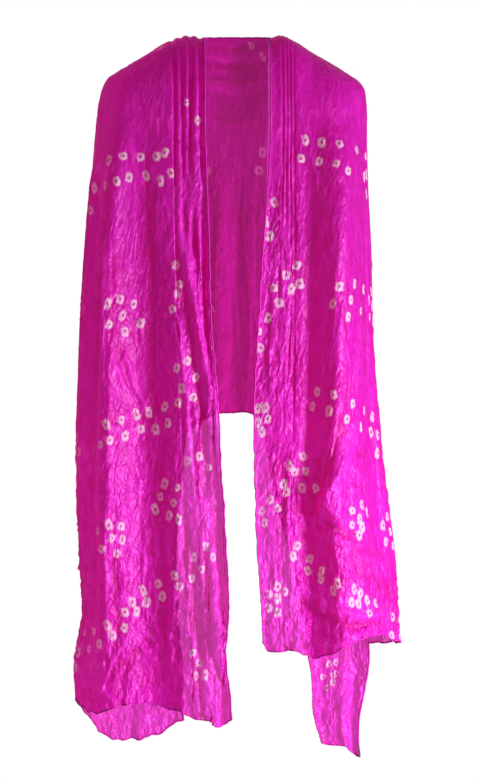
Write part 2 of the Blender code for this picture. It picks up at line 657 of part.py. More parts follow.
def build():
    for old in list(bpy.data.objects):
        bpy.data.objects.remove(old)
    stole = bpy.data.collections.new("dupatta_stole")
    bpy.context.scene.collection.children.link(stole)
    cloth = material("cloth", CLOTH_PINK)
    edging = material("hem_edging", HEM_PINK)
    turned = HEM_WIDTH + HEM_GAP

    back = back_grid()
    back_rows = YOKE_ROWS // 2
    for name, side in (("left", left_side), ("right", right_side)):
        flip = side is right_side
        band, curtain, yoke, rear = (
            band_grid(side), front_curtain_grid(side), yoke_grid(side), rear_grid(side),
        )
        tail = tail_grid(rear)
        hanging_rows = len(curtain)
        has_tail = side is right_side

        # The end's hem runs along the band, the panel and the layer behind.
        last_rear = TAIL_FROM_COLUMN + 1 if has_tail else rear.shape[1]
        edge = np.concatenate([band[0], curtain[-1, 1:], rear[-1, 1:last_rear]])
        inside = np.concatenate([band[1], curtain[-2, 1:], rear[-2, 1:last_rear]])
        cloth_stretch(f"{name}_end_hem", [strip(edge, inside)], stole, edging, not flip, HEM_WALL)

        # The long edge's hem behind, from the back sheet's hem down.
        meets = int(np.argmin(abs(hanging_shares(side) - back_hem_share(side))))
        edge, inside = rear[meets:, -1], rear[meets:, -2]
        if has_tail:
            edge = np.concatenate([edge, tail[1:, 0]])
            inside = np.concatenate([inside, tail[1:, 1]])
        hem = clear_of_ends(strip(edge, inside), SEAM_GAP, turned + CORNER_GAP)
        cloth_stretch(f"{name}_rear_edge_hem", [hem], stole, edging, flip, HEM_WALL)

        # The long edge's hem in front, up to the crest.
        front_rows = hanging_rows + back_rows
        hem = strip(band[:front_rows, 0], band[:front_rows, 1])
        hem = clear_of_ends(hem, turned, SEAM_GAP)
        cloth_stretch(f"{name}_front_edge_hem", [hem], stole, edging, not flip, HEM_WALL)

        # Each stretch draws back from its hems and from the stretch beside it.
        band_low, curtain_low = band[0].copy(), curtain[-1].copy()
        whole = beyond_hem(
            np.concatenate([band_low, curtain_low[1:]]),
            np.concatenate([band[1], curtain[-2, 1:]]),
        )
        band[0], curtain[-1] = whole[: band.shape[1]], whole[band.shape[1] - 1 :]
        rear_low = rear[-1].copy()
        rear[-1] = beyond_hem(rear_low, rear[-2])
        if has_tail:
            seam = slice(TAIL_FROM_COLUMN + 1, None)
            rear[-1, seam] = drawn_back(rear_low[seam], rear[-2, seam], SEAM_GAP / 2)
        beside = np.concatenate([curtain[::-1, :2], yoke[1:, :2]])
        distance = seam_distance(band[:, -1], band[:, -2], beside[:, 1])
        band[:, -1] = drawn_back(band[:, -1], band[:, -2], distance)
        beside_edge = drawn_back(beside[:, 0], beside[:, 1], distance)
        curtain[:, 0] = beside_edge[:hanging_rows][::-1]
        yoke[:, 0] = beside_edge[hanging_rows - 1 :]
        front_edge = beyond_hem(band[:front_rows, 0], band[:front_rows, 1])
        part_side_by_side(curtain, rear)
        long_edge = beyond_hem(rear[:, -1], rear[:, -2])
        seam_edge = drawn_back(rear[:, -1], rear[:, -2], SEAM_GAP / 2)
        hemmed = np.arange(hanging_rows)[:, None] >= meets
        rear[:, -1] = np.where(hemmed, long_edge, seam_edge)
        rear[0] = drawn_back(rear[0], rear[1], SEAM_GAP / 2)
        band[-1] = drawn_back(band[-1], band[-2], SEAM_GAP / 2)
        yoke[-1] = drawn_back(yoke[-1], yoke[-2], SEAM_GAP / 2)
        yoke[0], yoke[:, -1] = curtain[0, : FRONT_COLUMNS + 1], curtain[0, FRONT_COLUMNS:]

        # Behind the crest the band's inner edge meets the back sheet.
        behind = slice(front_rows - 1, None)
        at = 0 if side is left_side else -1
        step = 1 if side is left_side else -1
        band_edge, band_inside = band[behind, 0].copy(), band[behind, 1]
        back_edge = back[: back_rows + 1, at].copy()
        back_inside = back[: back_rows + 1, at + step]
        distance = seam_distance(back_edge, back_inside, back_edge + band_inside - band_edge)
        band[behind, 0] = drawn_back(band_edge, band_inside, distance)
        band[:front_rows, 0] = front_edge
        back[: back_rows + 1, at] = drawn_back(back_edge, back_inside, distance)
        lower_edge, lower_inside = back[back_rows + 1 :, at], back[back_rows + 1 :, at + step]
        back[back_rows + 1 :, at] = drawn_back(lower_edge, lower_inside, SEAM_GAP)

        cloth_stretch(f"{name}_band", [band], stole, cloth, flip)
        cloth_stretch(f"{name}_front", [curtain[::-1], yoke], stole, cloth, flip)
        cloth_stretch(f"{name}_rear", [rear[::-1]], stole, cloth, flip)
        if has_tail:
            hem = clear_of_ends(
                strip(tail[:, -1], tail[:, -2]), turned, turned + CORNER_GAP
            )
            cloth_stretch("tail_side_hem", [hem], stole, edging, not flip, HEM_WALL)
            hem = strip(tail[-1], tail[-2])
            cloth_stretch("tail_end_hem", [hem], stole, edging, not flip, HEM_WALL)
            low = beyond_hem(tail[-1], tail[-2])
            tail[0] = drawn_back(tail[0], tail[1], SEAM_GAP / 2)
            left = beyond_hem(tail[:, 0], tail[:, 1])
            right = beyond_hem(tail[:, -1], tail[:, -2])
            tail[-1] = low
            tail[:-1, 0], tail[:-1, -1] = left[:-1], right[:-1]
            tail[-1, 0] = drawn_back(low[0], low[1], turned)
            tail[-1, -1] = drawn_back(low[-1], low[-2], turned)
            cloth_stretch("right_tail", [tail[::-1]], stole, cloth)

    cloth_stretch("neck_hem", [strip(back[0], back[1])], stole, edging, False, HEM_WALL)
    cloth_stretch("back_hem", [strip(back[-1], back[-2])], stole, edging, True, HEM_WALL)
    low = beyond_hem(back[-1], back[-2])
    back[0] = beyond_hem(back[0], back[1])
    back[-1] = low
    cloth_stretch("back_panel", [back[::-1]], stole, cloth)


build()
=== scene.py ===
"""A tie-dyed dupatta stole in crushed silk, worn open over both shoulders.

The cloth is sampled finely from the same section tables as the solids, creased by
listed folds and by crushed-silk crinkles, and edged with a rolled, stitched hem.
"""

import functools
import itertools
import math

import bpy
import numpy as np
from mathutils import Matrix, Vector


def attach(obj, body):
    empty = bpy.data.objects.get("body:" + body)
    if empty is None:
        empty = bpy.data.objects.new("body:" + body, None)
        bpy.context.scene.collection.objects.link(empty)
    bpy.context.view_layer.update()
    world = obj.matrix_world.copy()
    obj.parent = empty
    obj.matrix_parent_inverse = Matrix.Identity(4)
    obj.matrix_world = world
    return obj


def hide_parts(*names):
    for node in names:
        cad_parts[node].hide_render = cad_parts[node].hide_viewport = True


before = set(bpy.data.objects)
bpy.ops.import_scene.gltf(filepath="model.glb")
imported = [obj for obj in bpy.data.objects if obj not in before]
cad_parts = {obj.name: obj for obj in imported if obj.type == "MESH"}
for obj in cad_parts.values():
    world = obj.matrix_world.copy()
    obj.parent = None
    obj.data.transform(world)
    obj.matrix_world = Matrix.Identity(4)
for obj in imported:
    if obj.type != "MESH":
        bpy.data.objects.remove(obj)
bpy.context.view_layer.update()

bl_info = {
    "name": "Tie-dyed dupatta stole",
    "version": (1, 0, 0),
    "blender": (4, 5, 0),
    "location": "3D View > Sidebar > Stole",
    "description": "A crinkled silk stole draped over the shoulders",
    "category": "Add Mesh",
}

class Table:
    """Rows of sizes with named columns, read as smooth curves over the first column."""

    def __init__(self, columns, *rows):
        self.columns = columns.split()
        self.rows = rows

    def __getitem__(self, name):
        return np.array([row[self.columns.index(name)] for row in self.rows])

    def at(self, name, place):
        return through(self[self.columns[0]], self[name], place)

    def marks(self):
        return [dict(zip(self.columns, row)) for row in self.rows]


def knot_before(knots, at):
    """For each place: the knot before it, the share of the way on to the next, and the span."""
    at = np.clip(np.asarray(at, float), knots[0], knots[-1])
    left = np.clip(np.searchsorted(knots, at, side="right") - 1, 0, len(knots) - 2)
    span = knots[left + 1] - knots[left]
    return left, (at - knots[left]) / span, span


def hermite(s, span, first, last, first_slope, last_slope):
    return (
        (2 * s**3 - 3 * s**2 + 1) * first + (s**3 - 2 * s**2 + s) * span * first_slope
        + (3 * s**2 - 2 * s**3) * last + (s**3 - s**2) * span * last_slope
    )


def through(knots, values, at):
    """The smooth curve through the values at the knots, read at the places given."""
    knots, values = np.asarray(knots, float), np.asarray(values, float)
    slopes = np.gradient(values, knots, axis=0)
    left, share, span = knot_before(knots, at)
    if values.ndim > 1:
        share, span = share[..., None], span[..., None]
    return hermite(share, span, values[left], values[left + 1], slopes[left], slopes[left + 1])


LEFT, RIGHT = -1, 1

# Stations along one side's cross-section, from the inner front edge (0) round the arm
# (1) to the inner edge of the back layer (2).
INNER, BAND, VALLEY, RIDGE, SIDE, REAR_CORNER, REAR_MIDDLE, REAR_END = (
    0.0, 0.25, 0.45, 0.75, 1.0, 1.25, 1.6, 2.0,
)
STATIONS = (INNER, BAND, VALLEY, RIDGE, SIDE, REAR_CORNER, REAR_MIDDLE, REAR_END)
YOKE_FRONT = 0.9
YOKE_BACK = 1.12
SHOULDER_ROUNDNESS = 2.3
REAR_CORNER_INSET = 0.020
REAR_CORNER_DEPTH = 0.66
SIDE_DEPTH = 0.004

# How the cloth lies at each drop below the neck: how far from the midline each
# station is, then how far in front of or behind the shoulder line.
SECTION_COLUMNS = (
    "drop inner band valley ridge side rear_end band_depth valley_depth ridge_depth rear_depth"
)
LEFT_SECTIONS = Table(
    SECTION_COLUMNS,
    (0.10, 0.0460, 0.0945, 0.134, 0.176, 0.2050, 0.052, 0.062, 0.060, 0.040, 0.068),
    (0.18, 0.0435, 0.0950, 0.140, 0.190, 0.2130, 0.058, 0.082, 0.074, 0.072, 0.083),
    (0.30, 0.0390, 0.0930, 0.143, 0.199, 0.2243, 0.064, 0.096, 0.082, 0.094, 0.088),
    (0.42, 0.0360, 0.0900, 0.143, 0.201, 0.2325, 0.068, 0.102, 0.084, 0.104, 0.088),
    (0.54, 0.0263, 0.0855, 0.143, 0.201, 0.2370, 0.070, 0.104, 0.084, 0.108, 0.085),
    (0.66, 0.0195, 0.0825, 0.142, 0.203, 0.2380, 0.080, 0.104, 0.083, 0.108, 0.080),
    (0.78, 0.0125, 0.0810, 0.140, 0.206, 0.2335, 0.088, 0.103, 0.082, 0.102, 0.074),
    (0.86, 0.0092, 0.0765, 0.136, 0.204, 0.2295, 0.087, 0.102, 0.082, 0.096, 0.068),
    (0.93, 0.0138, 0.0725, 0.131, 0.200, 0.2400, 0.080, 0.100, 0.082, 0.090, 0.064),
    (0.985, 0.0072, 0.0712, 0.129, 0.199, 0.2395, 0.078, 0.099, 0.082, 0.088, 0.062),
    (1.06, 0.0030, 0.0700, 0.128, 0.198, 0.2330, 0.073, 0.098, 0.082, 0.086, 0.060),
)
RIGHT_SECTIONS = Table(
    SECTION_COLUMNS,
    (0.10, 0.0555, 0.0915, 0.112, 0.162, 0.1975, 0.050, 0.064, 0.062, 0.046, 0.068),
    (0.18, 0.0525, 0.0915, 0.112, 0.168, 0.1983, 0.048, 0.083, 0.080, 0.080, 0.083),
    (0.30, 0.0435, 0.0938, 0.114, 0.167, 0.2020, 0.045, 0.094, 0.088, 0.106, 0.088),
    (0.42, 0.0360, 0.0930, 0.114, 0.165, 0.2063, 0.042, 0.098, 0.090, 0.115, 0.088),
    (0.54, 0.0293, 0.0915, 0.112, 0.160, 0.2130, 0.040, 0.100, 0.091, 0.119, 0.085),
    (0.66, 0.0300, 0.0870, 0.108, 0.157, 0.2235, 0.056, 0.100, 0.091, 0.121, 0.081),
    (0.78, 0.0345, 0.0870, 0.110, 0.165, 0.2400, 0.085, 0.100, 0.090, 0.119, 0.075),
    (0.86, 0.0405, 0.0900, 0.116, 0.172, 0.2438, 0.102, 0.099, 0.090, 0.115, 0.070),
    (0.94, 0.0420, 0.0900, 0.118, 0.175, 0.2448, 0.114, 0.098, 0.090, 0.111, 0.066),
)

# The shoulder line, from beside the neck (0) to the tip of the shoulder (1).
LEFT_CREST = Table(
    "share out height",
    (0.00, 0.0480, 0.000), (0.14, 0.0720, 0.004), (0.278, 0.1000, -0.005),
    (0.50, 0.1350, -0.026), (0.70, 0.1650, -0.044), (0.833, 0.1830, -0.055),
    (0.90, 0.1920, -0.062), (0.95, 0.1985, -0.075), (1.00, 0.2050, -0.100),
)
RIGHT_CREST = Table(
    "share out height",
    (0.00, 0.0525, 0.000), (0.14, 0.0700, 0.004), (0.278, 0.0915, -0.006),
    (0.50, 0.1180, -0.024), (0.70, 0.1480, -0.041), (0.833, 0.1720, -0.056),
    (0.90, 0.1855, -0.065), (0.95, 0.1940, -0.077), (1.00, 0.1975, -0.100),
)

# Where the shoulder passes into the hanging part, and where the cloth ends.
RING = Table(
    "station drop",
    (0.0, 0.140), (0.45, 0.140), (0.75, 0.125), (1.0, 0.100), (1.25, 0.112),
    (1.6, 0.120), (2.0, 0.120),
)
LEFT_HEM = Table(
    "station drop",
    (0.00, 1.023), (0.045, 1.032), (0.09, 1.034), (0.13, 1.029), (0.17, 1.023),
    (0.21, 1.020), (0.25, 1.014),
    (0.35, 1.006), (0.45, 0.998), (0.55, 0.999), (0.65, 1.003), (0.75, 1.011),
    (0.85, 1.010), (0.93, 0.998), (1.00, 0.986), (1.12, 1.000), (1.25, 1.023),
    (1.40, 1.047), (1.60, 1.050), (1.80, 1.045), (1.90, 1.030), (2.00, 1.021),
)
RIGHT_HEM = Table(
    "station drop",
    (0.00, 0.909), (0.05, 0.919), (0.12, 0.920), (0.17, 0.916), (0.25, 0.919),
    (0.35, 0.924), (0.45, 0.928), (0.55, 0.927), (0.65, 0.921), (0.72, 0.912),
    (0.80, 0.899), (0.90, 0.896), (1.00, 0.905), (1.12, 0.906), (2.00, 0.906),
)

# Folds of the gathered bands, from the inner edge out: the share of the band's width
# and the depth of each at the neck and at the hem.
LEFT_FOLDS = Table(
    "share_top share_hem depth_top depth_hem",
    (0.26, 0.30, 0.0050, 0.0062),
    (0.30, 0.26, 0.0055, 0.0060),
    (0.24, 0.27, 0.0042, 0.0048),
    (0.20, 0.17, 0.0035, 0.0040),
)
RIGHT_FOLDS = Table(
    "share_top share_hem depth_top depth_hem",
    (0.38, 0.36, 0.0022, 0.0040),
    (0.17, 0.18, 0.0044, 0.0050),
    (0.15, 0.16, 0.0040, 0.0044),
    (0.14, 0.15, 0.0042, 0.0046),
    (0.16, 0.15, 0.0034, 0.0040),
)
FOLD_OVERHANG = 0.75
BAND_FADE_AT_CREST = 0.75

# Long soft folds of the panels: station at the top and at the hem, width along the
# section, depth outwards, and the drops between which each one shows.
LEFT_PANEL_FOLDS = Table(
    "station_top station_hem width depth from_drop to_drop",
    (0.82, 0.80, 0.020, 0.0060, 0.13, 0.92),
    (0.885, 0.90, 0.016, -0.0080, 0.13, 0.86),
    (0.62, 0.66, 0.026, 0.0040, 0.20, 1.10),
    (0.50, 0.56, 0.022, -0.0035, 0.30, 1.10),
    (0.36, 0.38, 0.024, 0.0040, 0.25, 1.10),
    (1.32, 1.28, 0.034, 0.0060, 0.25, 1.10),
    (1.52, 1.48, 0.034, -0.0050, 0.30, 1.10),
    (1.74, 1.72, 0.034, 0.0060, 0.30, 1.10),
)
RIGHT_PANEL_FOLDS = Table(
    "station_top station_hem width depth from_drop to_drop",
    (0.56, 0.50, 0.024, -0.0040, 0.20, 0.95),
    (0.66, 0.62, 0.022, 0.0040, 0.28, 0.95),
    (0.86, 0.84, 0.022, -0.0040, 0.34, 0.95),
    (0.93, 0.94, 0.020, 0.0035, 0.40, 0.95),
    (1.30, 1.32, 0.034, 0.0060, 0.25, 0.95),
    (1.50, 1.52, 0.034, -0.0050, 0.30, 0.95),
    (1.72, 1.70, 0.034, 0.0060, 0.30, 0.95),
)
FOLD_EASE = 0.10

# The sheet across the back: its hem, and the swags that lie across it below the neck.
BACK_HEM = Table(
    "share drop",
    (0.0, 0.592), (0.2, 0.574), (0.4, 0.563), (0.6, 0.562), (0.8, 0.561), (1.0, 0.572),
)
NECK_BOW = 0.046
NECK_ROUNDNESS = 1.25
BACK_BOW = 0.006
BACK_SWAGS = Table(
    "drop width depth",
    (0.006, 0.006, 0.0030), (0.020, 0.008, -0.0024), (0.036, 0.010, 0.0030),
    (0.058, 0.012, -0.0028), (0.086, 0.014, 0.0030),
)
SWAG_SAG = 0.006
BACK_FOLDS = Table(
    "share width depth",
    (0.16, 0.10, 0.0040), (0.40, 0.12, -0.0040), (0.62, 0.12, 0.0045), (0.84, 0.10, -0.0040),
)

# The corner of the right end that hangs lower behind the front hem.
TAIL_FROM_STATION = 1.4378
TAIL = Table(
    "drop left right depth",
    (0.90, 0.1080, 0.2040, 0.067),
    (0.94, 0.1150, 0.2000, 0.064),
    (0.98, 0.1165, 0.1938, 0.062),
    (1.02, 0.1190, 0.1860, 0.061),
    (1.055, 0.1290, 0.1850, 0.060),
    (1.08, 0.1310, 0.1868, 0.060),
)
TAIL_HEM = Table(
    "share drop",
    (0.0, 1.057), (0.10, 1.059), (0.25, 1.060), (0.5, 1.061),
    (0.72, 1.064), (0.85, 1.072), (0.95, 1.078), (1.0, 1.078),
)
TAIL_FOLDS = Table(
    "share_top share_hem width depth",
    (0.22, 0.16, 0.13, 0.0035), (0.52, 0.66, 0.11, -0.0050), (0.74, 0.86, 0.10, 0.0060),
)

# How finely the cloth is divided.
BAND_COLUMNS_PER_FOLD = {LEFT: 14, RIGHT: 11}
PANEL_COLUMNS = 84
TURN_ROWS = 72
ROWS_ABOVE_BACK_HEM = 150
ROWS_BELOW_BACK_HEM = {LEFT: 140, RIGHT: 112}
BACK_COLUMNS = 64
TAIL_ROWS = 56
STEP = 1e-4

# How the gathered folds lose their order below the shoulder: how far they wander, in
# folds, how often in a metre, and how flat they are pressed over the crest.
FOLD_FULLNESS = {LEFT: 0.52, RIGHT: 0.45}
FOLD_HEIGHT = {LEFT: 0.95, RIGHT: 0.38}
FOLD_LOSS = 0.38
FOLD_WANDER = 2.3
FOLD_WANDER_RATE = 6.5
FOLD_WANDER_AT_RING = 0.45
CREST_PRESSING = 0.72

# The tie-dyed dots, charted as seen: millimetres from the midline and below the neck.
FRONT_DOTS = (
    (-190, 184, -168, 177, -142, 178, -118, 178, -105, 172, -196, 222, -178, 216, -159, 208, -134, 208,
     -110, 213, -96, 204),
    (-72, 99, -57, 126, -112, 15),
    (-190, 398, -172, 392, -152, 400, -168, 417, -188, 429, -142, 429, -165, 442),
    (-88, 340, -82, 368, -88, 384, -93, 405, -70, 483, -60, 508, -80, 524, -62, 538, -86, 494),
    (-194, 579, -171, 572, -147, 564, -128, 561, -106, 554, -86, 548, -204, 610, -188, 604, -165, 598,
     -142, 586, -118, 586, -100, 579),
    (-54, 626, -40, 645, -72, 634),
    (-106, 668, -87, 674, -111, 688, -92, 696, -120, 706, -100, 717, -84, 722),
    (-206, 738, -189, 729, -170, 732, -184, 750, -168, 753, -201, 766, -178, 774),
    (-42, 764, -62, 780, -32, 780, -50, 798, -66, 812),
    (-92, 807, -116, 819, -138, 828, -153, 846, -166, 861, -192, 880, -212, 890, -226, 892, -84, 824,
     -110, 837, -132, 846, -148, 860, -165, 884, -184, 897, -204, 908, -220, 915, -236, 922),
    (-63, 922, -54, 936, -46, 954, -58, 958),
    (105, 152, 130, 158, 158, 159, 182, 168, 198, 178, 100, 182, 126, 186, 152, 189, 171, 200, 195,
     207),
    (60, 248, 42, 273, 51, 297, 76, 356, 86, 378, 58, 374, 66, 398, 98, 368, 93, 342, 51, 420, 32, 440,
     38, 465, 32, 555, 45, 554, 34, 576, 50, 572, 40, 592),
    (156, 372, 180, 368, 194, 378, 174, 393, 146, 399, 190, 410, 171, 418),
    (123, 530, 148, 536, 176, 548, 195, 558, 208, 567, 116, 552, 141, 560, 168, 573, 189, 584, 204,
     592),
    (102, 628, 106, 651, 90, 650, 120, 674, 100, 676, 81, 644, 72, 669, 78, 682, 52, 694, 64, 706, 40,
     711, 46, 726),
    (176, 708, 190, 699, 198, 710, 188, 723, 176, 730, 192, 732, 188, 746),
    (94, 762, 87, 778),
    (112, 782, 110, 798, 130, 800, 129, 814, 153, 818, 147, 830, 178, 826, 189, 832, 198, 842, 212, 848,
     174, 846, 186, 850, 202, 862),
    (64, 824, 51, 834, 76, 832, 64, 842, 52, 854, 64, 862),
)
INSIDE_BACK_DOTS = (26, 10, 42, 28, -42, 202, 36, 200, 42, 171)
TAIL_DOTS = (141, 940, 150, 938, 132, 957, 147, 956, 153, 952, 147, 966, 138, 975)
EDGE_STRIP_DOTS = (-214, 226, -214, 258, -218, 594, -214, 621, -233, 621, -233, 591)

DOT_SEARCH = 4.0

# Where the pattern runs on out of sight: which way the cloth faces, then a double row
# (along from, drop from, along to, drop to, how many) or a flower (along, drop).
HIDDEN_ROWS = Table(
    "faces along_from drop_from along_to drop_to count",
    ("behind", -205, 190, -64, 184, 7),
    ("behind", 66, 182, 200, 190, 7),
    ("behind", -225, 622, -88, 575, 6),
    ("behind", 60, 560, 208, 606, 7),
    ("behind", -230, 915, -92, 868, 6),
    ("behind", 105, 842, 238, 872, 6),
    ("left", -8, 198, 58, 204, 4),
    ("left", -8, 606, 55, 622, 4),
    ("left", -6, 908, 48, 918, 3),
    ("right", -4, 202, 58, 196, 3),
    ("right", -6, 592, 55, 606, 3),
    ("right", -6, 866, 48, 872, 3),
)
HIDDEN_FLOWERS = Table(
    "faces along drop",
    ("behind", -168, 408), ("behind", -58, 398), ("behind", 62, 404), ("behind", 158, 402),
    ("behind", -182, 752), ("behind", -118, 770), ("behind", 112, 704), ("behind", 196, 742),
    ("left", 4, 400), ("left", 2, 760), ("right", 2, 402), ("right", 4, 740),
    ("behind", 118, 92), ("behind", -128, 96),
)

# Creases given one by one: which way the cloth faces, how wide and how deep (negative is
# a trough), and the points that the crease runs through, in millimetres.
WAYS = ("front", "behind", "left", "right")
CREASES = (
    ("front", 6.5, 6.5, -77, 290, -66, 370, -50, 460, -30, 590, -16, 700),
    ("front", 5.0, -5.0, -88, 300, -76, 390, -62, 480, -46, 600, -38, 720),
    ("front", 4.0, -3.5, -62, 290, -46, 400, -34, 520),
    ("front", 4.0, 3.0, -84, 420, -76, 520, -64, 640, -58, 740),
    ("front", 2.5, 1.6, -76, 332, -66, 336, -56, 334),
    ("front", 2.5, -1.6, -74, 344, -64, 350, -52, 342),
    ("behind", 3.0, -3.6, -52, 14, 0, 19, 58, 12),
    ("behind", 3.0, 3.0, -52, 28, 4, 34, 58, 28),
    ("behind", 3.5, -4.0, -54, 42, 0, 47, 58, 40),
    ("behind", 3.0, -3.4, -50, 62, 6, 67, 58, 58),
    ("behind", 3.0, 1.6, -40, 78, 10, 84, 50, 74),
    ("behind", 3.0, -1.6, -36, 120, 0, 126, 40, 118),
    ("behind", 2.6, -1.6, -34, 150, -24, 260, -32, 380, -26, 500),
    ("behind", 2.6, 1.4, -8, 170, -14, 300, -4, 440, -12, 540),
    ("behind", 2.6, -1.5, 18, 140, 12, 280, 22, 420, 14, 540),
    ("behind", 2.4, 1.3, 34, 200, 30, 330, 38, 470),
    ("front", 4.5, 2.0, -56, 60, -62, 170, -60, 300),
    ("front", 3.0, 1.6, -46, 350, -34, 480, -26, 600),
    ("front", 4.0, -1.8, -66, 60, -70, 190, -74, 300),
    ("front", 3.0, 1.5, -80, 100, -84, 260, -90, 420),
    ("front", 4.0, 1.8, -92, 620, -86, 760, -96, 900, -92, 980),
    ("front", 6.0, -5.0, -72, 720, -66, 800, -56, 880, -50, 960),
    ("front", 6.0, 5.0, -46, 690, -38, 780, -28, 880, -14, 985),
    ("front", 5.0, -3.6, -30, 660, -24, 760, -16, 860, -6, 950),
    ("front", 4.5, 3.4, -72, 880, -52, 940, -30, 1010),
    ("front", 4.0, -3.2, -60, 860, -36, 920, -12, 1000),
    ("front", 4.0, 2.8, -20, 800, -30, 850, -26, 900, -40, 950),
    ("front", 3.0, 1.4, -88, 940, -60, 990, -40, 1020),
    ("front", 5.0, 2.6, -188, 464, -172, 510, -150, 545),
    ("front", 4.0, -2.6, -178, 460, -160, 516, -142, 552),
    ("front", 4.5, 2.4, -166, 468, -148, 530, -120, 580),
    ("front", 4.0, -2.0, -133, 512, -124, 540, -116, 562),
    ("front", 3.0, 3.4, -199, 160, -199, 420, -206, 573, -213, 760, -226, 850),
    ("left", 4.0, -4.0, -84, 170, -82, 420, -80, 600, -78, 800),
    ("front", 4.0, -1.2, -186, 220, -184, 380, -190, 480),
    ("front", 3.5, 1.5, -200, 690, -194, 800, -192, 930),
    ("front", 3.5, -1.6, -184, 760, -176, 860, -184, 960),
    ("front", 3.0, 1.6, -196, 960, -176, 920, -150, 880),
    ("front", 3.0, -1.5, -180, 990, -160, 940, -140, 910),
    ("front", 3.0, 1.5, -212, 900, -206, 950, -186, 1000),
    ("front", 4.0, 1.4, -150, 640, -136, 740, -140, 850),
    ("front", 5.0, -1.8, -120, 600, -112, 720, -108, 860, -112, 990),
    ("front", 3.5, 1.2, -160, 120, -150, 240, -158, 330),
    ("front", 3.5, -1.2, -130, 110, -134, 230, -126, 350),
    ("front", 7.0, 5.5, 182, 570, 158, 640, 138, 690, 126, 730),
    ("front", 6.0, -5.0, 168, 560, 144, 628, 124, 676, 114, 720),
    ("front", 5.0, 3.0, 124, 690, 146, 712, 176, 738),
    ("front", 5.0, -3.0, 120, 712, 146, 734, 180, 752),
    ("front", 5.0, 2.8, 122, 738, 152, 752, 196, 760),
    ("front", 3.5, 1.5, 150, 610, 172, 640, 204, 668),
    ("front", 3.5, -1.4, 160, 590, 186, 622, 214, 642),
    ("front", 3.5, 1.5, 180, 770, 204, 784, 232, 786),
    ("front", 5.5, 3.6, 92, 815, 136, 848, 190, 866, 226, 862),
    ("front", 5.0, -3.4, 92, 838, 134, 868, 184, 882, 220, 872),
    ("front", 5.5, 3.6, 84, 880, 138, 908, 186, 900, 206, 880),
    ("front", 3.0, 1.4, 170, 790, 158, 830, 150, 870),
    ("front", 3.0, 1.6, 166, 290, 152, 350, 150, 420, 140, 500),
    ("front", 3.0, -1.2, 178, 300, 168, 380, 166, 470),
    ("front", 3.0, 1.2, 190, 420, 182, 500, 176, 560),
    ("front", 3.5, 1.6, 80, 120, 86, 260, 80, 420),
    ("front", 3.5, -1.6, 88, 90, 90, 240, 86, 430, 88, 560),
    ("front", 3.0, 1.4, 68, 300, 74, 460, 66, 620),
    ("front", 4.0, 2.0, 86, 620, 78, 720, 84, 820, 76, 900),
    ("front", 3.5, -2.0, 74, 640, 70, 740, 74, 830),
    ("front", 3.0, 1.6, 58, 840, 66, 870, 84, 890),
    ("front", 3.0, 1.2, 110, 130, 118, 190, 132, 260),
    ("behind", 5.0, 1.8, -205, 240, -190, 420, -204, 620, -196, 800),
    ("behind", 4.0, -1.6, -160, 200, -150, 380, -162, 560, -150, 760),
    ("behind", 4.0, 1.8, -110, 300, -122, 480, -108, 700, -118, 930),
    ("behind", 4.0, 1.6, -200, 860, -170, 920, -150, 990),
    ("behind", 4.0, -1.6, -170, 850, -140, 930, -110, 1000),
    ("behind", 4.5, 1.6, 196, 260, 180, 420, 198, 600, 210, 780),
    ("behind", 4.0, -1.6, 150, 220, 158, 400, 146, 560, 160, 720),
    ("behind", 4.0, 1.8, 100, 380, 112, 540, 104, 660, 120, 820),
    ("behind", 4.0, 1.6, 200, 820, 176, 870, 150, 930),
    ("behind", 4.0, -1.4, -40, 160, -28, 320, -40, 520),
    ("behind", 4.0, 1.4, 14, 190, 2, 360, 16, 540),
    ("left", 5.0, 1.6, -20, 180, -10, 420, -26, 700, -14, 940),
    ("left", 4.0, -1.4, 26, 260, 34, 500, 20, 760),
    ("right", 5.0, 1.6, -16, 180, -30, 420, -12, 640, -26, 880),
    ("right", 4.0, -1.4, 30, 240, 20, 460, 36, 700),
    ("front", 3.0, 1.2, -40, 200, 0, 206, 44, 198),
    ("front", 2.6, 1.2, -40, 104, 4, 98, 50, 104),
)

CREASE_STRENGTH = 1.35

# How strongly the silk is crushed at each drop, in millimetres.
CRUSH = Table(
    "drop height",
    (0.0, 0.55), (0.15, 0.65), (0.35, 0.85), (0.60, 1.00), (0.80, 1.25), (1.05, 1.55),
)

# The rolled hem: how many sides its roll has, and how close its rings may lie.
HEM_SIDES = 7
SHORTEST_HEM_STEP = 0.0022
STITCH_SEED = 5

# The spot of stray dye, and how sheer each piece is, as a share of one layer.
STAIN = (0.045, 0.10, 0.115, 1.0)
STAINED_TIP = (0.1868, 0.060, -1.074)
THINNESS = {"left_fall": 1.0, "right_fall": 1.0, "left_layer_behind": 1.0,
            "right_layer_behind": 1.0, "back_sheet": 0.25}


def across(stations, values, at):
    """As through(), where each point has its own row of values at the stations."""
    stations = np.asarray(stations, float)
    slopes = np.gradient(values, stations, axis=1)
    left, share, span = knot_before(stations, at)
    here, after = (np.arange(len(at)), left), (np.arange(len(at)), left + 1)
    return hermite(share, span, values[here], values[after], slopes[here], slopes[after])


def ease(x):
    x = np.clip(x, 0.0, 1.0)
    return x * x * (3 - 2 * x)


def bell(away):
    return np.exp(-away * away)


def unit(vectors):
    return vectors / np.maximum(np.linalg.norm(vectors, axis=-1, keepdims=True), 1e-12)


def matched(*values):
    """The values as arrays of one shape."""
    return np.broadcast_arrays(*(np.asarray(value, float) for value in values))


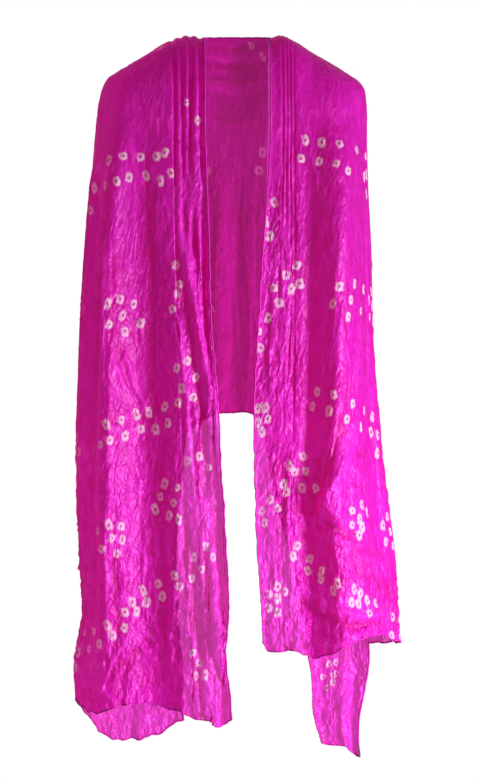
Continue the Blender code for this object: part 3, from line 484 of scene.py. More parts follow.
class Side:
    """One side of the stole: its section tables, crest, hem and folds."""

    def __init__(self, sign, sections, crest, hem, folds, panel_folds):
        self.sign, self.sections, self.crest_line, self.hem_line = sign, sections, crest, hem
        self.folds, self.panel_folds = folds, panel_folds
        self.fold_count = len(folds.rows)
        self.last_drop = sections["drop"][-1]

    def hem(self, station):
        return self.hem_line.at("drop", station)

    def section(self, station, drop):
        """Points of the plain section, before any fold."""
        station, drop = matched(station, drop)
        shape, station, drop = station.shape, station.ravel(), drop.ravel()
        size = {name: self.sections.at(name, drop) for name in self.sections.columns[1:]}
        side, rear_end, rear = size["side"], size["rear_end"], size["rear_depth"]
        out = [size["inner"], size["band"], size["valley"], size["ridge"], side,
               side - REAR_CORNER_INSET, 0.5 * (side + rear_end), rear_end]
        back = [-size["band_depth"], -size["band_depth"], -size["valley_depth"], -size["ridge_depth"],
                SIDE_DEPTH + 0.0 * drop, REAR_CORNER_DEPTH * rear, rear, rear]
        points = [self.sign * across(STATIONS, np.stack(out, 1), station),
                  across(STATIONS, np.stack(back, 1), station), -drop]
        return np.stack(points, 1).reshape(*shape, 3)

    def along(self, station, drop):
        return self.section(station + STEP, drop) - self.section(station - STEP, drop)

    def outward(self, station, drop):
        """The unit direction that points out of the hollow, across the section."""
        down = self.section(station, drop + STEP) - self.section(station, drop - STEP)
        return unit(self.sign * np.cross(self.along(station, drop), down))

    def panel_fold(self, station, drop):
        """How far the panels' folds push the cloth outwards."""
        speed = np.linalg.norm(self.along(station, drop), axis=-1) / (2 * STEP)
        share = np.clip(drop / self.last_drop, 0, 1)
        total = np.zeros(np.shape(station))
        for fold in self.panel_folds.marks():
            centre = fold["station_top"] + share * (fold["station_hem"] - fold["station_top"])
            shown = ease((drop - fold["from_drop"]) / FOLD_EASE)
            shown = shown * ease((fold["to_drop"] - drop) / FOLD_EASE)
            total = total + fold["depth"] * shown * bell((station - centre) * speed / fold["width"])
        return total

    def curtain(self, station, drop):
        """Points of the hanging cloth outside the gathered band."""
        station, drop = matched(station, drop)
        push = self.panel_fold(station, drop)
        return self.section(station, drop) + push[..., None] * self.outward(station, drop)

    def crest(self, share):
        out, height = (self.crest_line.at(name, share) for name in ("out", "height"))
        return np.stack([self.sign * out, 0.004 * ease(share), height], -1)

    def yoke(self, share, turn):
        """Points over the shoulder: turn runs from -1 in front, over the crest, to 1 behind."""
        share, turn = matched(share, turn)
        station = arm_station(turn)
        round_arm = self.section(station, ring_drop(station))
        reach = (share**6)[..., None]
        return self.arch(share, turn) + reach * (round_arm - self.arch(np.ones_like(share), turn))

    def arch(self, share, turn):
        behind = REAR_END - share * (REAR_END - YOKE_BACK)
        station = np.where(turn < 0, share * YOKE_FRONT, behind)
        foot, top = self.section(station, ring_drop(station)), self.crest(share)
        angle = np.abs(turn) * np.pi / 2
        out = np.sin(angle) ** (2 / SHOULDER_ROUNDNESS)
        down = np.cos(angle) ** (2 / SHOULDER_ROUNDNESS)
        return top + (foot - top) * np.stack([out, out, 1 - down], -1)

    def fold_share(self, phase, low):
        """How far across the band each fold phase lies, from the neck (low 0) to the hem."""
        edges = np.arange(self.fold_count + 1)
        leaning = phase - FOLD_OVERHANG * np.sin(4 * np.pi * (phase - 0.25)) / (4 * np.pi)
        top, hem = (
            through(edges, np.cumsum([0, *self.folds[name]]), leaning)
            for name in ("share_top", "share_hem")
        )
        return (1 - low) * top + low * hem

    def band(self, phase, drop=None, turn=None):
        """Points of the gathered band, by fold phase, hanging (drop) or over the crest (turn)."""
        hangs = turn is None
        phase, given = matched(phase, drop if hangs else turn)
        low = np.clip(given / self.last_drop, 0, 1) if hangs else 0.0 * given
        share = self.fold_share(phase, low)
        middle = np.arange(self.fold_count) + 0.5
        top, hem = (through(middle, self.folds[name], phase) for name in ("depth_top", "depth_hem"))
        swing = ((1 - low) * top + low * hem) * (1 - np.cos(2 * np.pi * phase))
        if hangs:
            station = share * BAND
            return self.curtain(station, given) + swing[..., None] * self.outward(station, given)
        reach = share * BAND / YOKE_FRONT
        along = self.yoke(reach + STEP, given) - self.yoke(reach - STEP, given)
        before, after = np.maximum(given - STEP, -1), np.minimum(given + STEP, 1)
        over = self.yoke(reach, after) - self.yoke(reach, before)
        normal = unit(-self.sign * np.cross(along, over))
        in_front = 1 - (1 - BAND_FADE_AT_CREST) * ease(1 + given)
        fade = np.where(given < 0, in_front, BAND_FADE_AT_CREST * ease(1 - given))
        return self.yoke(reach, given) + (swing * fade)[..., None] * normal


def ring_drop(station):
    return RING.at("drop", station)


def arm_station(turn):
    """The station round the arm that each turn of the shoulder's outer edge meets."""
    return np.where(turn < 0, 1 + turn * (1 - YOKE_FRONT), 1 + turn * (YOKE_BACK - 1))


left_side = Side(LEFT, LEFT_SECTIONS, LEFT_CREST, LEFT_HEM, LEFT_FOLDS, LEFT_PANEL_FOLDS)
right_side = Side(RIGHT, RIGHT_SECTIONS, RIGHT_CREST, RIGHT_HEM, RIGHT_FOLDS, RIGHT_PANEL_FOLDS)
SIDES = {"left": left_side, "right": right_side}


def back_hem_share(side):
    """How far down the side's back edge the back sheet's hem meets it."""
    ring = ring_drop(REAR_END)
    drop = BACK_HEM.at("drop", 0.0 if side is left_side else 1.0)
    return float((drop - ring) / (side.hem(REAR_END) - ring))


def neck_edge(side, drop):
    """The line where the back sheet meets the side, from the neck down."""
    ring = ring_drop(REAR_END)
    foot, top = side.section(REAR_END, ring), side.crest(0.0)
    down = np.clip((ring - drop) / (ring + top[2]), 0, 1)
    out = (1 - down**SHOULDER_ROUNDNESS) ** (1 / SHOULDER_ROUNDNESS)
    above = top + (foot - top) * np.stack([out, out, 0 * out], -1)
    below = side.curtain(np.full_like(drop, REAR_END), np.maximum(drop, ring))
    points = np.where((drop < ring)[..., None], above, below)
    points[..., 2] = -drop
    return points


def back_point(share, drop):
    """The sheet across the back, bowed round the neck and swagged below it."""
    share, drop = np.broadcast_arrays(share, drop)
    start, end = neck_edge(left_side, drop), neck_edge(right_side, drop)
    base = start + share[..., None] * (end - start)
    middle = (4 * share * (1 - share)) ** NECK_ROUNDNESS
    push = (BACK_BOW + (NECK_BOW - BACK_BOW) * (1 - ease(drop / 0.16))) * middle
    for swag in BACK_SWAGS.marks():
        away = (drop - swag["drop"] - SWAG_SAG * middle) / swag["width"]
        push = push + swag["depth"] * bell(away) * middle
    show = ease((drop - 0.12) / 0.2) * middle
    for fold in BACK_FOLDS.marks():
        push = push + fold["depth"] * bell((share - fold["share"]) / fold["width"]) * show
    base[..., 1] += push
    return base


def tail_points(top):
    """The low corner, from the rear layer's last row down."""
    share = (top[:, 0] - top[0, 0]) / (top[-1, 0] - top[0, 0])
    down = np.linspace(0, 1, TAIL_ROWS + 1)[:, None]
    drop = -top[:, 2] + down * (TAIL_HEM.at("drop", share) + top[:, 2])
    left, right, depth = (TAIL.at(name, drop) for name in ("left", "right", "depth"))
    settle = ease(down * 2.5)
    out = top[:, 0] + settle * (left + share * (right - left) - top[:, 0])
    depth = top[:, 1] + settle * (depth - top[:, 1])
    for fold in TAIL_FOLDS.marks():
        centre = fold["share_top"] + down * (fold["share_hem"] - fold["share_top"])
        depth = depth + fold["depth"] * bell((share - centre) / fold["width"]) * settle
    return np.stack([out, depth, -drop], -1)


def scattered(cell, seed):
    """Numbers from 0 to 1, three for each cell of a lattice, always the same ones."""
    x, y, z = np.moveaxis(cell.astype(np.int64), -1, 0)
    n = (x * 73856093) ^ (y * 19349663) ^ (z * 83492791) ^ (seed * 2654435761 % 2147483647)
    found = []
    for turn in (12582917, 4256249, 741457):
        n = ((n ^ (n >> 13)) * turn + 1013904223) & 0x7FFFFFFF
        found.append((n % 65536) / 65536.0)
    return np.stack(found, -1)


def swell(points, seed):
    """Smooth noise between about -1 and 1."""
    cell = np.floor(points)
    near = points - cell
    fade = near**3 * (near * (near * 6 - 15) + 10)
    total = np.zeros(points.shape[:-1])
    for corner in itertools.product((0, 1), repeat=3):
        corner = np.array(corner)
        slope = 2 * scattered(cell + corner, seed) - 1
        weight = np.prod(np.where(corner == 1, fade, 1 - fade), axis=-1)
        total += weight * np.sum(slope * (near - corner), -1)
    return 1.6 * total


def facets(points, seed):
    """Flat facets round scattered points, each tilted its own way, that meet in sharp creases."""
    cell = np.floor(points)
    shape = points.shape[:-1]
    first, second = np.full(shape, 9.0), np.full(shape, 9.0)
    tilt = np.zeros(shape)
    for corner in itertools.product((-1, 0, 1), repeat=3):
        at = cell + np.array(corner)
        offset = at + scattered(at, seed) - points
        away = np.sum(offset * offset, -1)
        nearer = away < first
        second = np.where(nearer, first, np.minimum(second, away))
        first = np.where(nearer, away, first)
        lean = np.sum((scattered(at, seed + 50) - 0.5) * offset, -1)
        tilt = np.where(nearer, lean, tilt)
    gap = np.sqrt(second) - np.sqrt(first)
    return tilt * ease(gap / 0.30)


def wander(side, phase, drop, strength):
    """Where each column of the gathered band has moved to, and how full its fold is there."""
    count = side.fold_count
    inside = np.sin(np.pi * np.clip(phase / count, 0, 1))
    phase = phase + 0 * drop
    side_of_noise = side.sign + 0 * drop
    spot = np.stack([phase * 0.50, drop * FOLD_WANDER_RATE, 5.0 * side_of_noise], -1)
    moved = phase + FOLD_WANDER * strength * inside * swell(spot, 71)
    spot = np.stack([phase * 0.70, drop * 5.5, 9.0 * side_of_noise], -1)
    return np.clip(moved, 0, count), 1 + 1.7 * strength * swell(spot, 72)


def hanging_band(side, phase, drop, ring):
    """The gathered band below the shoulder, where its folds wander, swell and die away."""
    loose = ease((drop - ring) / 0.10)
    moved, fullness = wander(side, phase, drop, FOLD_WANDER_AT_RING + (1 - FOLD_WANDER_AT_RING) * loose)
    share = side.fold_share(moved, np.clip(drop / side.last_drop, 0, 1))
    flat = side.curtain(share * BAND, drop)
    fullness = np.clip(fullness + loose * (FOLD_FULLNESS[side.sign] - 1), 0.06, 1.4)
    fullness = fullness - FOLD_LOSS * ease((drop - 0.22) / 0.45)
    fullness = np.clip(fullness, 0.06, 1.4) * FOLD_HEIGHT[side.sign]
    return flat + fullness[..., None] * (side.band(moved, drop=drop) - flat)


def band_over_crest(side, phase, turn):
    """The gathered band over the shoulder, pressed flatter along the crest."""
    ring = ring_drop(phase / side.fold_count * BAND) + 0 * turn
    moved, fullness = wander(side, phase, ring, FOLD_WANDER_AT_RING * (1 - turn) / 2)
    flat = side.yoke(side.fold_share(moved, 0.0) * BAND / YOKE_FRONT, turn)
    pressed = 1 - CREST_PRESSING * np.cos(turn * np.pi / 2) ** 2
    pressed = pressed * np.clip(fullness, 0.06, 1.4) * FOLD_HEIGHT[side.sign]
    return flat + pressed[..., None] * (side.band(moved, turn=turn) - flat)


def pairs(numbers):
    return np.array(numbers, float).reshape(-1, 2)


class Stole:
    """The whole cloth as one set of points, with a grid of indices for each stretch."""

    def __init__(self):
        self.points = np.zeros((0, 3))
        self.grids = {}
        self.whole = {}

    def add(self, points):
        """Adds points and gives their indices in the same shape."""
        first = len(self.points)
        self.points = np.concatenate([self.points, points.reshape(-1, 3)])
        return first + np.arange(points[..., 0].size).reshape(points.shape[:-1])

    def lay_side(self, side, name):
        count = side.fold_count
        phase = np.linspace(0, count, count * BAND_COLUMNS_PER_FOLD[side.sign] + 1)
        share = np.linspace(BAND / YOKE_FRONT, 1, PANEL_COLUMNS + 1)
        turn = np.linspace(-1, 1, TURN_ROWS + 1)
        meeting = back_hem_share(side)
        above = np.linspace(0, meeting, ROWS_ABOVE_BACK_HEM + 1)
        below = np.linspace(meeting, 1, ROWS_BELOW_BACK_HEM[side.sign] + 1)[1:]
        down = np.concatenate([above, below])[:, None]
        band_station = phase / count * BAND
        ring = ring_drop(band_station)
        band = hanging_band(side, phase, ring + down * (side.hem(band_station) - ring), ring)
        reach = side.fold_share(phase, 0.0) * BAND / YOKE_FRONT
        rear_share = np.concatenate([share[::-1][1:], reach[::-1][1:]])
        rear_station = REAR_END - rear_share * (REAR_END - YOKE_BACK)
        station = np.concatenate([share[1:] * YOKE_FRONT, arm_station(turn)[1:], rear_station])
        ring = ring_drop(station)
        drop = ring + down * (side.hem(station) - ring)
        hanging = np.concatenate([band, side.curtain(station + 0 * drop, drop)], 1)
        turn = turn[:, None]
        over = [band_over_crest(side, phase, turn), side.yoke(share[None, 1:], turn)]
        over = np.concatenate(over, 1)
        front = over.shape[1]
        hung = self.add(hanging)
        laid = np.zeros(over.shape[:2], int)
        laid[1:-1, :-1] = self.add(over[1:-1, :-1])
        laid[0] = hung[0, :front]
        laid[-1] = hung[0, ::-1][:front]
        laid[:, -1] = hung[0, front - 1: front + TURN_ROWS]
        behind = front - 1 + TURN_ROWS
        self.whole[name] = hung
        self.grids[name + "_hanging"] = hung[:, : behind + 1]
        self.grids[name + "_rear"] = hung[:, behind:]
        self.grids[name + "_shoulder"] = laid
        return hung, laid, np.concatenate([band_station, station])

    def lay_out(self):
        left, left_top, _ = self.lay_side(left_side, "left")
        right, right_top, right_stations = self.lay_side(right_side, "right")
        half = TURN_ROWS // 2
        sides = [
            np.concatenate([laid[half:, 0], hung[1: ROWS_ABOVE_BACK_HEM + 1, -1]])
            for hung, laid in ((left, left_top), (right, right_top))
        ]
        share = np.linspace(0, 1, BACK_COLUMNS + 1)[None, :]
        drop_left, drop_right = (-self.points[edge][:, 2:] for edge in sides)
        drop = drop_left + share * (drop_right - drop_left)
        drop = drop + ease((drop - 0.40) / 0.18) * (BACK_HEM.at("drop", share) - drop[-1:])
        sheet = back_point(share, drop)
        back = np.zeros(sheet.shape[:2], int)
        back[:, 1:-1] = self.add(sheet[:, 1:-1])
        back[:, 0], back[:, -1] = sides
        self.grids["back"] = back
        self.tail_from = int(np.argmin(abs(right_stations - TAIL_FROM_STATION)))
        top = right[-1, self.tail_from:][::-1]
        corner = tail_points(self.points[top])
        tail = np.zeros(corner.shape[:2], int)
        tail[1:] = self.add(corner[1:])
        tail[0] = top
        self.grids["tail"] = tail

    def quads(self, name):
        grid = self.grids[name]
        faces = np.stack([grid[:-1, :-1], grid[:-1, 1:], grid[1:, 1:], grid[1:, :-1]], -1)
        faces = faces.reshape(-1, 4)
        sign = {"left": 1, "right": -1, "back": 1, "tail": 1}[name.split("_")[0]]
        return faces if (sign > 0) != name.endswith("shoulder") else faces[:, ::-1]

    def all_quads(self):
        return np.concatenate([self.quads(name) for name in self.grids])

    def smooth_ring(self):
        """Eases the cloth where it turns from the shoulder into the fall."""
        quads = self.all_quads()
        pairs = np.concatenate([quads[:, [0, 1]], quads[:, [1, 2]], quads[:, [2, 3]], quads[:, [3, 0]]])
        away = abs(self.points[:, 2] + 0.125)
        amount = 0.5 * (1 - ease(away / 0.045))[:, None]
        edges = np.unique(np.sort(pairs, axis=1), axis=0)
        times = np.zeros(len(self.points), int)
        np.add.at(times, edges, 1)
        amount[times < 4] = 0
        for _ in range(14):
            total = np.zeros_like(self.points)
            np.add.at(total, edges[:, 0], self.points[edges[:, 1]])
            np.add.at(total, edges[:, 1], self.points[edges[:, 0]])
            mean = total / np.maximum(times, 1)[:, None]
            self.points = self.points + amount * (mean - self.points)

    def normals(self):
        quads = self.all_quads()
        a, b, c, d = (self.points[quads[:, i]] for i in range(4))
        total = np.zeros_like(self.points)
        for i in range(4):
            np.add.at(total, quads[:, i], np.cross(c - a, d - b))
        return unit(total)

    def faces(self, way, normal):
        """How squarely each point faces the front, the back, the left or the right."""
        axis = {"front": (1, -1), "behind": (1, 1), "left": (0, -1), "right": (0, 1)}[way]
        facing = np.clip(normal[:, axis[0]] * axis[1] * 2.0, 0, 1)
        near = {"front": self.points[:, 1] < 0.01, "behind": self.points[:, 1] > 0.02,
                "left": self.points[:, 0] < -0.12, "right": self.points[:, 0] > 0.12}[way]
        return facing * near

    def seen_along(self, way):
        """Each point's place in the plane that this way of facing is charted in."""
        across_it = self.points[:, 0] if way in ("front", "behind") else self.points[:, 1]
        return np.stack([across_it, -self.points[:, 2]], 1) * 1000

    def between(self, low, high):
        """Indices of the points whose drops, in millimetres, lie between these."""
        if not hasattr(self, "by_height"):
            self.by_height = np.argsort(self.points[:, 2])
            self.heights = self.points[self.by_height, 2]
        first = np.searchsorted(self.heights, -high / 1000)
        last = np.searchsorted(self.heights, -low / 1000)
        return self.by_height[first:last]

    def gathers(self):
        """How far each point of the bands stands before its own folds' mean, in millimetres."""
        found = np.full(len(self.points), -10.0)
        for name, side in SIDES.items():
            per_fold = BAND_COLUMNS_PER_FOLD[side.sign]
            wide = per_fold * side.fold_count
            band = self.whole[name][:, : wide + per_fold]
            depth = np.cumsum(-1000 * self.points[band, 1], axis=1)
            places = np.arange(wide)
            last, first = places + per_fold // 2, np.maximum(places - per_fold // 2, 0)
            mean = (depth[:, last] - depth[:, first]) / (last - first)
            found[band[:, :wide]] = -1000 * self.points[band[:, :wide], 1] - mean
        return found

    def crease(self):
        """Lays the listed creases and the crushed silk's crinkles."""
        normal = self.normals()
        drop = -self.points[:, 2]
        rise = np.zeros(len(self.points))
        wander = 2.2 * np.stack([swell(self.points * 45, 61), swell(self.points * 45, 62)], 1)
        seen = {way: self.seen_along(way) + wander for way in WAYS}
        facing = {way: self.faces(way, normal) for way in WAYS}
        for way, width, depth, *line in CREASES:
            line = pairs(line)
            margin = 5 * width + 6
            near = self.between(line[:, 1].min() - margin, line[:, 1].max() + margin)
            where = seen[way][near]
            inside = (where[:, 0] > line[:, 0].min() - margin) & (facing[way][near] > 0)
            inside &= where[:, 0] < line[:, 0].max() + margin
            near, where = near[inside], where[inside]
            line = through(np.linspace(0, 1, len(line)), line, np.linspace(0, 1, 16))
            nearest = np.full(len(where), 1e9)
            place = np.zeros(len(where))
            for i in range(15):
                start, span = line[i], line[i + 1] - line[i]
                t = np.clip((where - start) @ span / (span @ span), 0, 1)
                away = np.linalg.norm(where - start - t[:, None] * span, axis=1)
                closer = away < nearest
                nearest = np.where(closer, away, nearest)
                place = np.where(closer, (i + t) / 15, place)
            taper = np.sqrt(np.clip(np.sin(np.pi * place), 0, 1))
            lift = np.exp(-(np.sqrt(nearest**2 + 0.6) - 0.77) / width)
            rise[near] += CREASE_STRENGTH * depth * lift * taper * facing[way][near]
        bent = self.points + 0.010 * np.stack([swell(self.points * 22, seed) for seed in (3, 4, 5)], 1)
        hangs = ease((drop - 0.07) / 0.09)
        on_back = np.zeros(len(drop))
        on_back[self.grids["back"]] = 1
        patch = 0.80 + 0.6 * swell(self.points * 11, 21)
        gathers = self.gathers()
        in_band = (gathers > -9) * (1 - 0.8 * ease((drop - 0.45) / 0.3))
        self.crush = CRUSH.at("height", drop) * patch * (1 - 0.10 * on_back) * (1 + 0.45 * in_band)
        lean = bent[:, 0] * 0.55 * np.sign(self.points[:, 0])
        long_ways = np.stack([bent[:, 0] / 0.0105, bent[:, 1] / 0.0105, (bent[:, 2] + lean) / 0.034], 1)
        over_ways = np.stack([bent[:, 0] / 0.011, bent[:, 1] / 0.030, bent[:, 2] / 0.030], 1)
        slant, fall = bent[:, 0] + 0.7 * bent[:, 2], bent[:, 2] - 0.7 * bent[:, 0]
        slant_ways = np.stack([slant / 0.017, bent[:, 1] / 0.017, fall / 0.030], 1)
        crushed = hangs * facets(long_ways, 11) + (1 - hangs) * facets(over_ways, 12)
        low = ease((drop - 0.35) / 0.5)
        lines = (1 - abs(swell(long_ways * (0.62, 0.62, 0.34), 14))) ** 9
        rise += self.crush * (4.2 * crushed + (3.2 + 4.2 * low) * facets(slant_ways, 13))
        rise += self.crush * hangs * 0.9 * (lines - 0.2)
        # Painted light height: crease and crinkle height in millimetres, raised over the gathered bands
        # and most on their fold tops. It does not move the cloth; it only steers the colour, with painted
        # highlight on raised cloth and bands and painted shade in troughs.
        self.painted_light_height = rise + in_band * (1.2 + 0.42 * np.clip(gathers, -3.5, 3.5))
        rise += hangs * (1 - on_back) * 2.6 * swell(self.points * (15.0, 15.0, 4.5), 23)
        self.points = self.points + 0.001 * rise[:, None] * normal

    def near_hem(self, grid, drop, reach, along):
        """How near each point of a grid is to its hem, and its place along that hem."""
        edge_row = grid[-1][None, :] + 0 * grid
        nearness = np.exp(-np.clip(drop[edge_row] - drop[grid], 0, 1) / reach)
        return nearness, self.points[edge_row] * along

    def ruffle(self):
        """Makes the free edges uneven: small scallops that die away inside the cloth."""
        normal = self.normals()
        drop = -self.points[:, 2]
        shift = np.zeros_like(self.points)
        for name, side in SIDES.items():
            hung = self.whole[name]
            near_hem, flows = self.near_hem(hung, drop, 0.028, (1.0, 1.0, 0.0))
            near_hem[0] = 0
            wave = swell(flows * 42, 31)
            ripple = swell(flows * 95, 32)
            if name == "right":
                near_hem[:, self.tail_from:] = 0
            shift[hung] += (near_hem * (0.0058 * wave + 0.0034 * ripple))[..., None] * normal[hung]
            shift[hung, 2] += near_hem * (0.0048 * ripple + 0.0022 * swell(flows * 210, 33))
            distance = np.linalg.norm(self.points[hung] - self.points[hung[:, :1]], axis=-1)
            near_edge = np.exp(-distance / 0.010) * ease((drop[hung] - 0.14) / 0.3)
            fall = np.stack([0 * drop[hung], 0 * drop[hung], drop[hung]], -1)
            shift[hung, 0] += near_edge * (0.0024 * swell(fall * 55, 34) + 0.0012 * swell(fall * 140, 35))
            distance = np.linalg.norm(self.points[hung] - self.points[hung[:, -1:]], axis=-1)
            near_edge = np.exp(-distance / 0.010) * ease((drop[hung] - 0.60) / 0.06)
            shift[hung, 0] += near_edge * (0.0024 * swell(fall * 55, 36))
        back = self.grids["back"]
        near_hem, flows = self.near_hem(back, drop, 0.02, (1.0, 0.0, 0.0))
        inside = np.sin(np.pi * np.linspace(0, 1, back.shape[1]))[None, :] ** 0.5
        shift[back, 1] += near_hem * inside * 0.0028 * swell(flows * 60, 37)
        shift[back, 2] += near_hem * inside * 0.0016 * swell(flows * 90, 38)
        tail = self.grids["tail"]
        near_hem, flows = self.near_hem(tail, drop, 0.02, (1.0, 0.0, 0.0))
        near_hem[0] = 0
        shift[tail, 1] += near_hem * 0.004 * swell(flows * 60, 39)
        self.points = self.points + shift
        del self.by_height


class Dots:
    """The tie-dyed dots as distances over the cloth, with how pale each one is."""

    def __init__(self, stole, seed=7):
        self.stole = stole
        self.normal = stole.normals()
        self.centres = []
        self.seen = {way: stole.seen_along(way) for way in WAYS}
        self.facing = {way: stole.faces(way, self.normal) for way in WAYS}
        self.chance = np.random.default_rng(seed)

    def place(self, way, spot, among=None, width=6.6, height=7.2):
        """One dot on the cloth nearest the viewer from that side, or inside a stretch."""
        stole = self.stole
        if among is None:
            near = stole.between(spot[1] - DOT_SEARCH, spot[1] + DOT_SEARCH)
            least = 0.02 if way in ("front", "behind") else 0.3
            near = near[self.facing[way][near] > least]
        else:
            near = among
        away = np.max(abs(self.seen[way][near] - np.array(spot)), axis=1)
        near, away = near[away < DOT_SEARCH], away[away < DOT_SEARCH]
        if not len(near):
            return
        depth = {"front": stole.points[near, 1], "behind": -stole.points[near, 1],
                 "left": stole.points[near, 0], "right": -stole.points[near, 0]}[way]
        if among is None:
            away = np.where(depth < depth.min() + 0.012, away, 9.0)
        chosen = near[np.argmin(away)]
        normal = self.normal[chosen]
        down = unit(np.array([0.0, 0.0, -1.0]) + normal[2] * normal)
        if abs(normal[2]) > 0.85:
            down = unit(np.array([0.0, 1.0, 0.0]) - normal[1] * normal)
        side = np.cross(normal, down)
        lean = self.chance.uniform(-0.45, 0.45)
        along = unit(side * math.cos(lean) + down * math.sin(lean))
        down = np.cross(normal, along)
        scale = self.chance.uniform(0.86, 1.14)
        self.centres.append(
            (stole.points[chosen], along, down, normal, width * scale * 0.95,
             height * self.chance.uniform(0.92, 1.34), self.chance.uniform(0.0, 1.0))
        )

    def chart(self):
        hung = self.stole.grids
        for group in FRONT_DOTS:
            for spot in pairs(group):
                self.place("front", spot)
        for spot in pairs(EDGE_STRIP_DOTS):
            self.place("left", (-48 - 2.2 * (spot[0] + 214), spot[1]), width=6.2)
        for spot in pairs(INSIDE_BACK_DOTS):
            self.place("front", spot, among=hung["back"].ravel())
        for spot in pairs(TAIL_DOTS):
            self.place("behind", spot, among=hung["tail"].ravel(), width=4.4, height=4.8)
        for mark in HIDDEN_ROWS.marks():
            for i in range(mark["count"]):
                t = i / (mark["count"] - 1)
                along = mark["along_from"] + t * (mark["along_to"] - mark["along_from"])
                drop = mark["drop_from"] + t * (mark["drop_to"] - mark["drop_from"])
                wave = 7 * math.sin(5.0 * t + 0.6) + self.chance.uniform(-2, 2)
                self.place(mark["faces"], (along, drop + wave))
                self.place(mark["faces"], (along - 7, drop + wave + 29))
        for mark in HIDDEN_FLOWERS.marks():
            self.place(mark["faces"], (mark["along"], mark["drop"]))
            for i in range(6):
                angle = math.pi / 3 * i + 0.35
                spot = (mark["along"] + 23 * math.cos(angle), mark["drop"] + 23 * math.sin(angle))
                self.place(mark["faces"], spot)

    def measure(self):
        """For each point of the cloth: 1 at a dot's rim, 0 at its middle, and its tone."""
        points = self.stole.points
        reach = np.full(len(points), 3.0)
        tone = np.full(len(points), 0.5)
        for centre, along, down, normal, width, height, pale in self.centres:
            drop = -1000 * centre[2]
            close = self.stole.between(drop - 20, drop + 20)
            close = close[np.max(abs(points[close, :2] - centre[:2]), axis=1) < 0.02]
            away = points[close] - centre
            u = abs(away @ along) * 1000 / width
            v = abs(away @ down) * 1000 / height
            w = np.clip(abs(away @ normal) * 1000 - 3.0, 0, None) / 5
            found = (u**3.2 + v**3.2) ** (1 / 3.2) + w
            closer = found < reach[close]
            chosen = close[closer]
            reach[chosen] = found[closer]
            tone[chosen] = pale
        return reach, tone

    def pucker(self):
        """Lifts the cloth a little where each dot was tied."""
        reach, _ = self.measure()
        lift = 0.0010 * np.exp(-((reach / 0.45) ** 2)) - 0.0005 * np.exp(-(((reach - 0.85) / 0.3) ** 2))
        self.stole.points = self.stole.points + lift[:, None] * self.normal


def maths(operation, turned=False):
    """A Python operator that makes a Math node."""

    def combine(self, other):
        values = (other, self) if turned else (self, other)
        return self.tree.node("ShaderNodeMath", {"operation": operation}, *values)

    return combine


class Socket:
    """A shader value that Python's operators turn into Math nodes."""

    def __init__(self, tree, link):
        self.tree, self.link = tree, link

    __add__, __radd__ = maths("ADD"), maths("ADD", True)
    __sub__, __rsub__ = maths("SUBTRACT"), maths("SUBTRACT", True)
    __mul__, __rmul__ = maths("MULTIPLY"), maths("MULTIPLY", True)
    __truediv__, __rtruediv__ = maths("DIVIDE"), maths("DIVIDE", True)
    __pow__ = maths("POWER")

    def size(self):
        return self.tree.node("ShaderNodeMath", {"operation": "ABSOLUTE"}, self)

    def clamp(self):
        return self.tree.node("ShaderNodeMath", {"operation": "ADD", "use_clamp": True}, self, 0.0)

    def out(self, name):
        """Another output of the same node."""
        return Socket(self.tree, self.link.node.outputs[name])


class Tree:
    """The nodes of a material, a world or a Geometry Nodes group."""

    def __init__(self, owner):
        self.owner = self.made = owner
        if not isinstance(owner, bpy.types.NodeTree):
            owner.use_nodes = True
            self.made = owner.node_tree
            self.made.nodes.clear()

    def fill(self, socket, value):
        if isinstance(value, Socket):
            self.made.links.new(value.link, socket)
        else:
            socket.default_value = value

    def node(self, kind, settings=None, *values, places=range(9), output=0, **named):
        """A node: its settings first, then its inputs by their places, then those by name."""
        made = self.made.nodes.new(kind)
        for key, value in (settings or {}).items():
            setattr(made, key, value)
        for place, value in zip(places, values):
            self.fill(made.inputs[place], value)
        for name, value in named.items():
            self.fill(made.inputs[name.replace("_", " ")], value)
        return Socket(self, made.outputs[output] if len(made.outputs) else None)

    def finished(self, shader, kind="ShaderNodeOutputMaterial"):
        self.node(kind, {}, shader)
        return self.owner

    def mix(self, share, first, second):
        values = (share, first, second)
        return self.node("ShaderNodeMix", {"data_type": "RGBA"}, *values, places=(0, 6, 7), output=2)

    def step(self, value, low, high):
        return self.node("ShaderNodeMapRange", {"interpolation_type": "SMOOTHSTEP"}, value, low, high)

    def attribute(self, name):
        return self.node("ShaderNodeAttribute", {"attribute_name": name}, output=2)

    def object_place(self, scale=(1.0, 1.0, 1.0)):
        place = self.node("ShaderNodeTexCoord", output=3)
        return self.node("ShaderNodeMapping", {}, place, Scale=scale)

    def noise(self, place, scale, detail=2.0, output=0):
        return self.node(
            "ShaderNodeTexNoise", {}, Vector=place, Scale=scale, Detail=detail, output=output
        )

    def fitted(self, place, size, lean, seed):
        """The place counted in cells of the size given in metres, leaning out of upright."""
        ways = {"vector_type": "TEXTURE"}
        return self.node("ShaderNodeMapping", ways, place, (seed, 0.0, 0.0), (0.0, lean, 0.0), size)

    def vectors(self, operation, *values, output=0):
        return self.node("ShaderNodeVectorMath", {"operation": operation}, *values, output=output)


def crushed(tree, *cells):
    """Flat facets, each tilted its own way, that meet in creases."""
    fitted = tree.fitted(*cells)
    middle = tree.node("ShaderNodeTexVoronoi", {}, Vector=fitted, Scale=1.0, output=2)
    offset = tree.vectors("SUBTRACT", fitted, middle)
    slope = tree.vectors("SUBTRACT", middle.out("Color"), (0.5, 0.5, 0.5))
    tilt = tree.vectors("DOT_PRODUCT", slope, offset, output=1)
    return tilt * (1.0 - tree.step(middle.out("Distance"), 0.42, 0.72))


def creased(tree, *cells):
    """Long wandering creases with sharp tops."""
    return 1.0 - (2.0 * tree.noise(tree.fitted(*cells), 1.0) - 1.0).size()


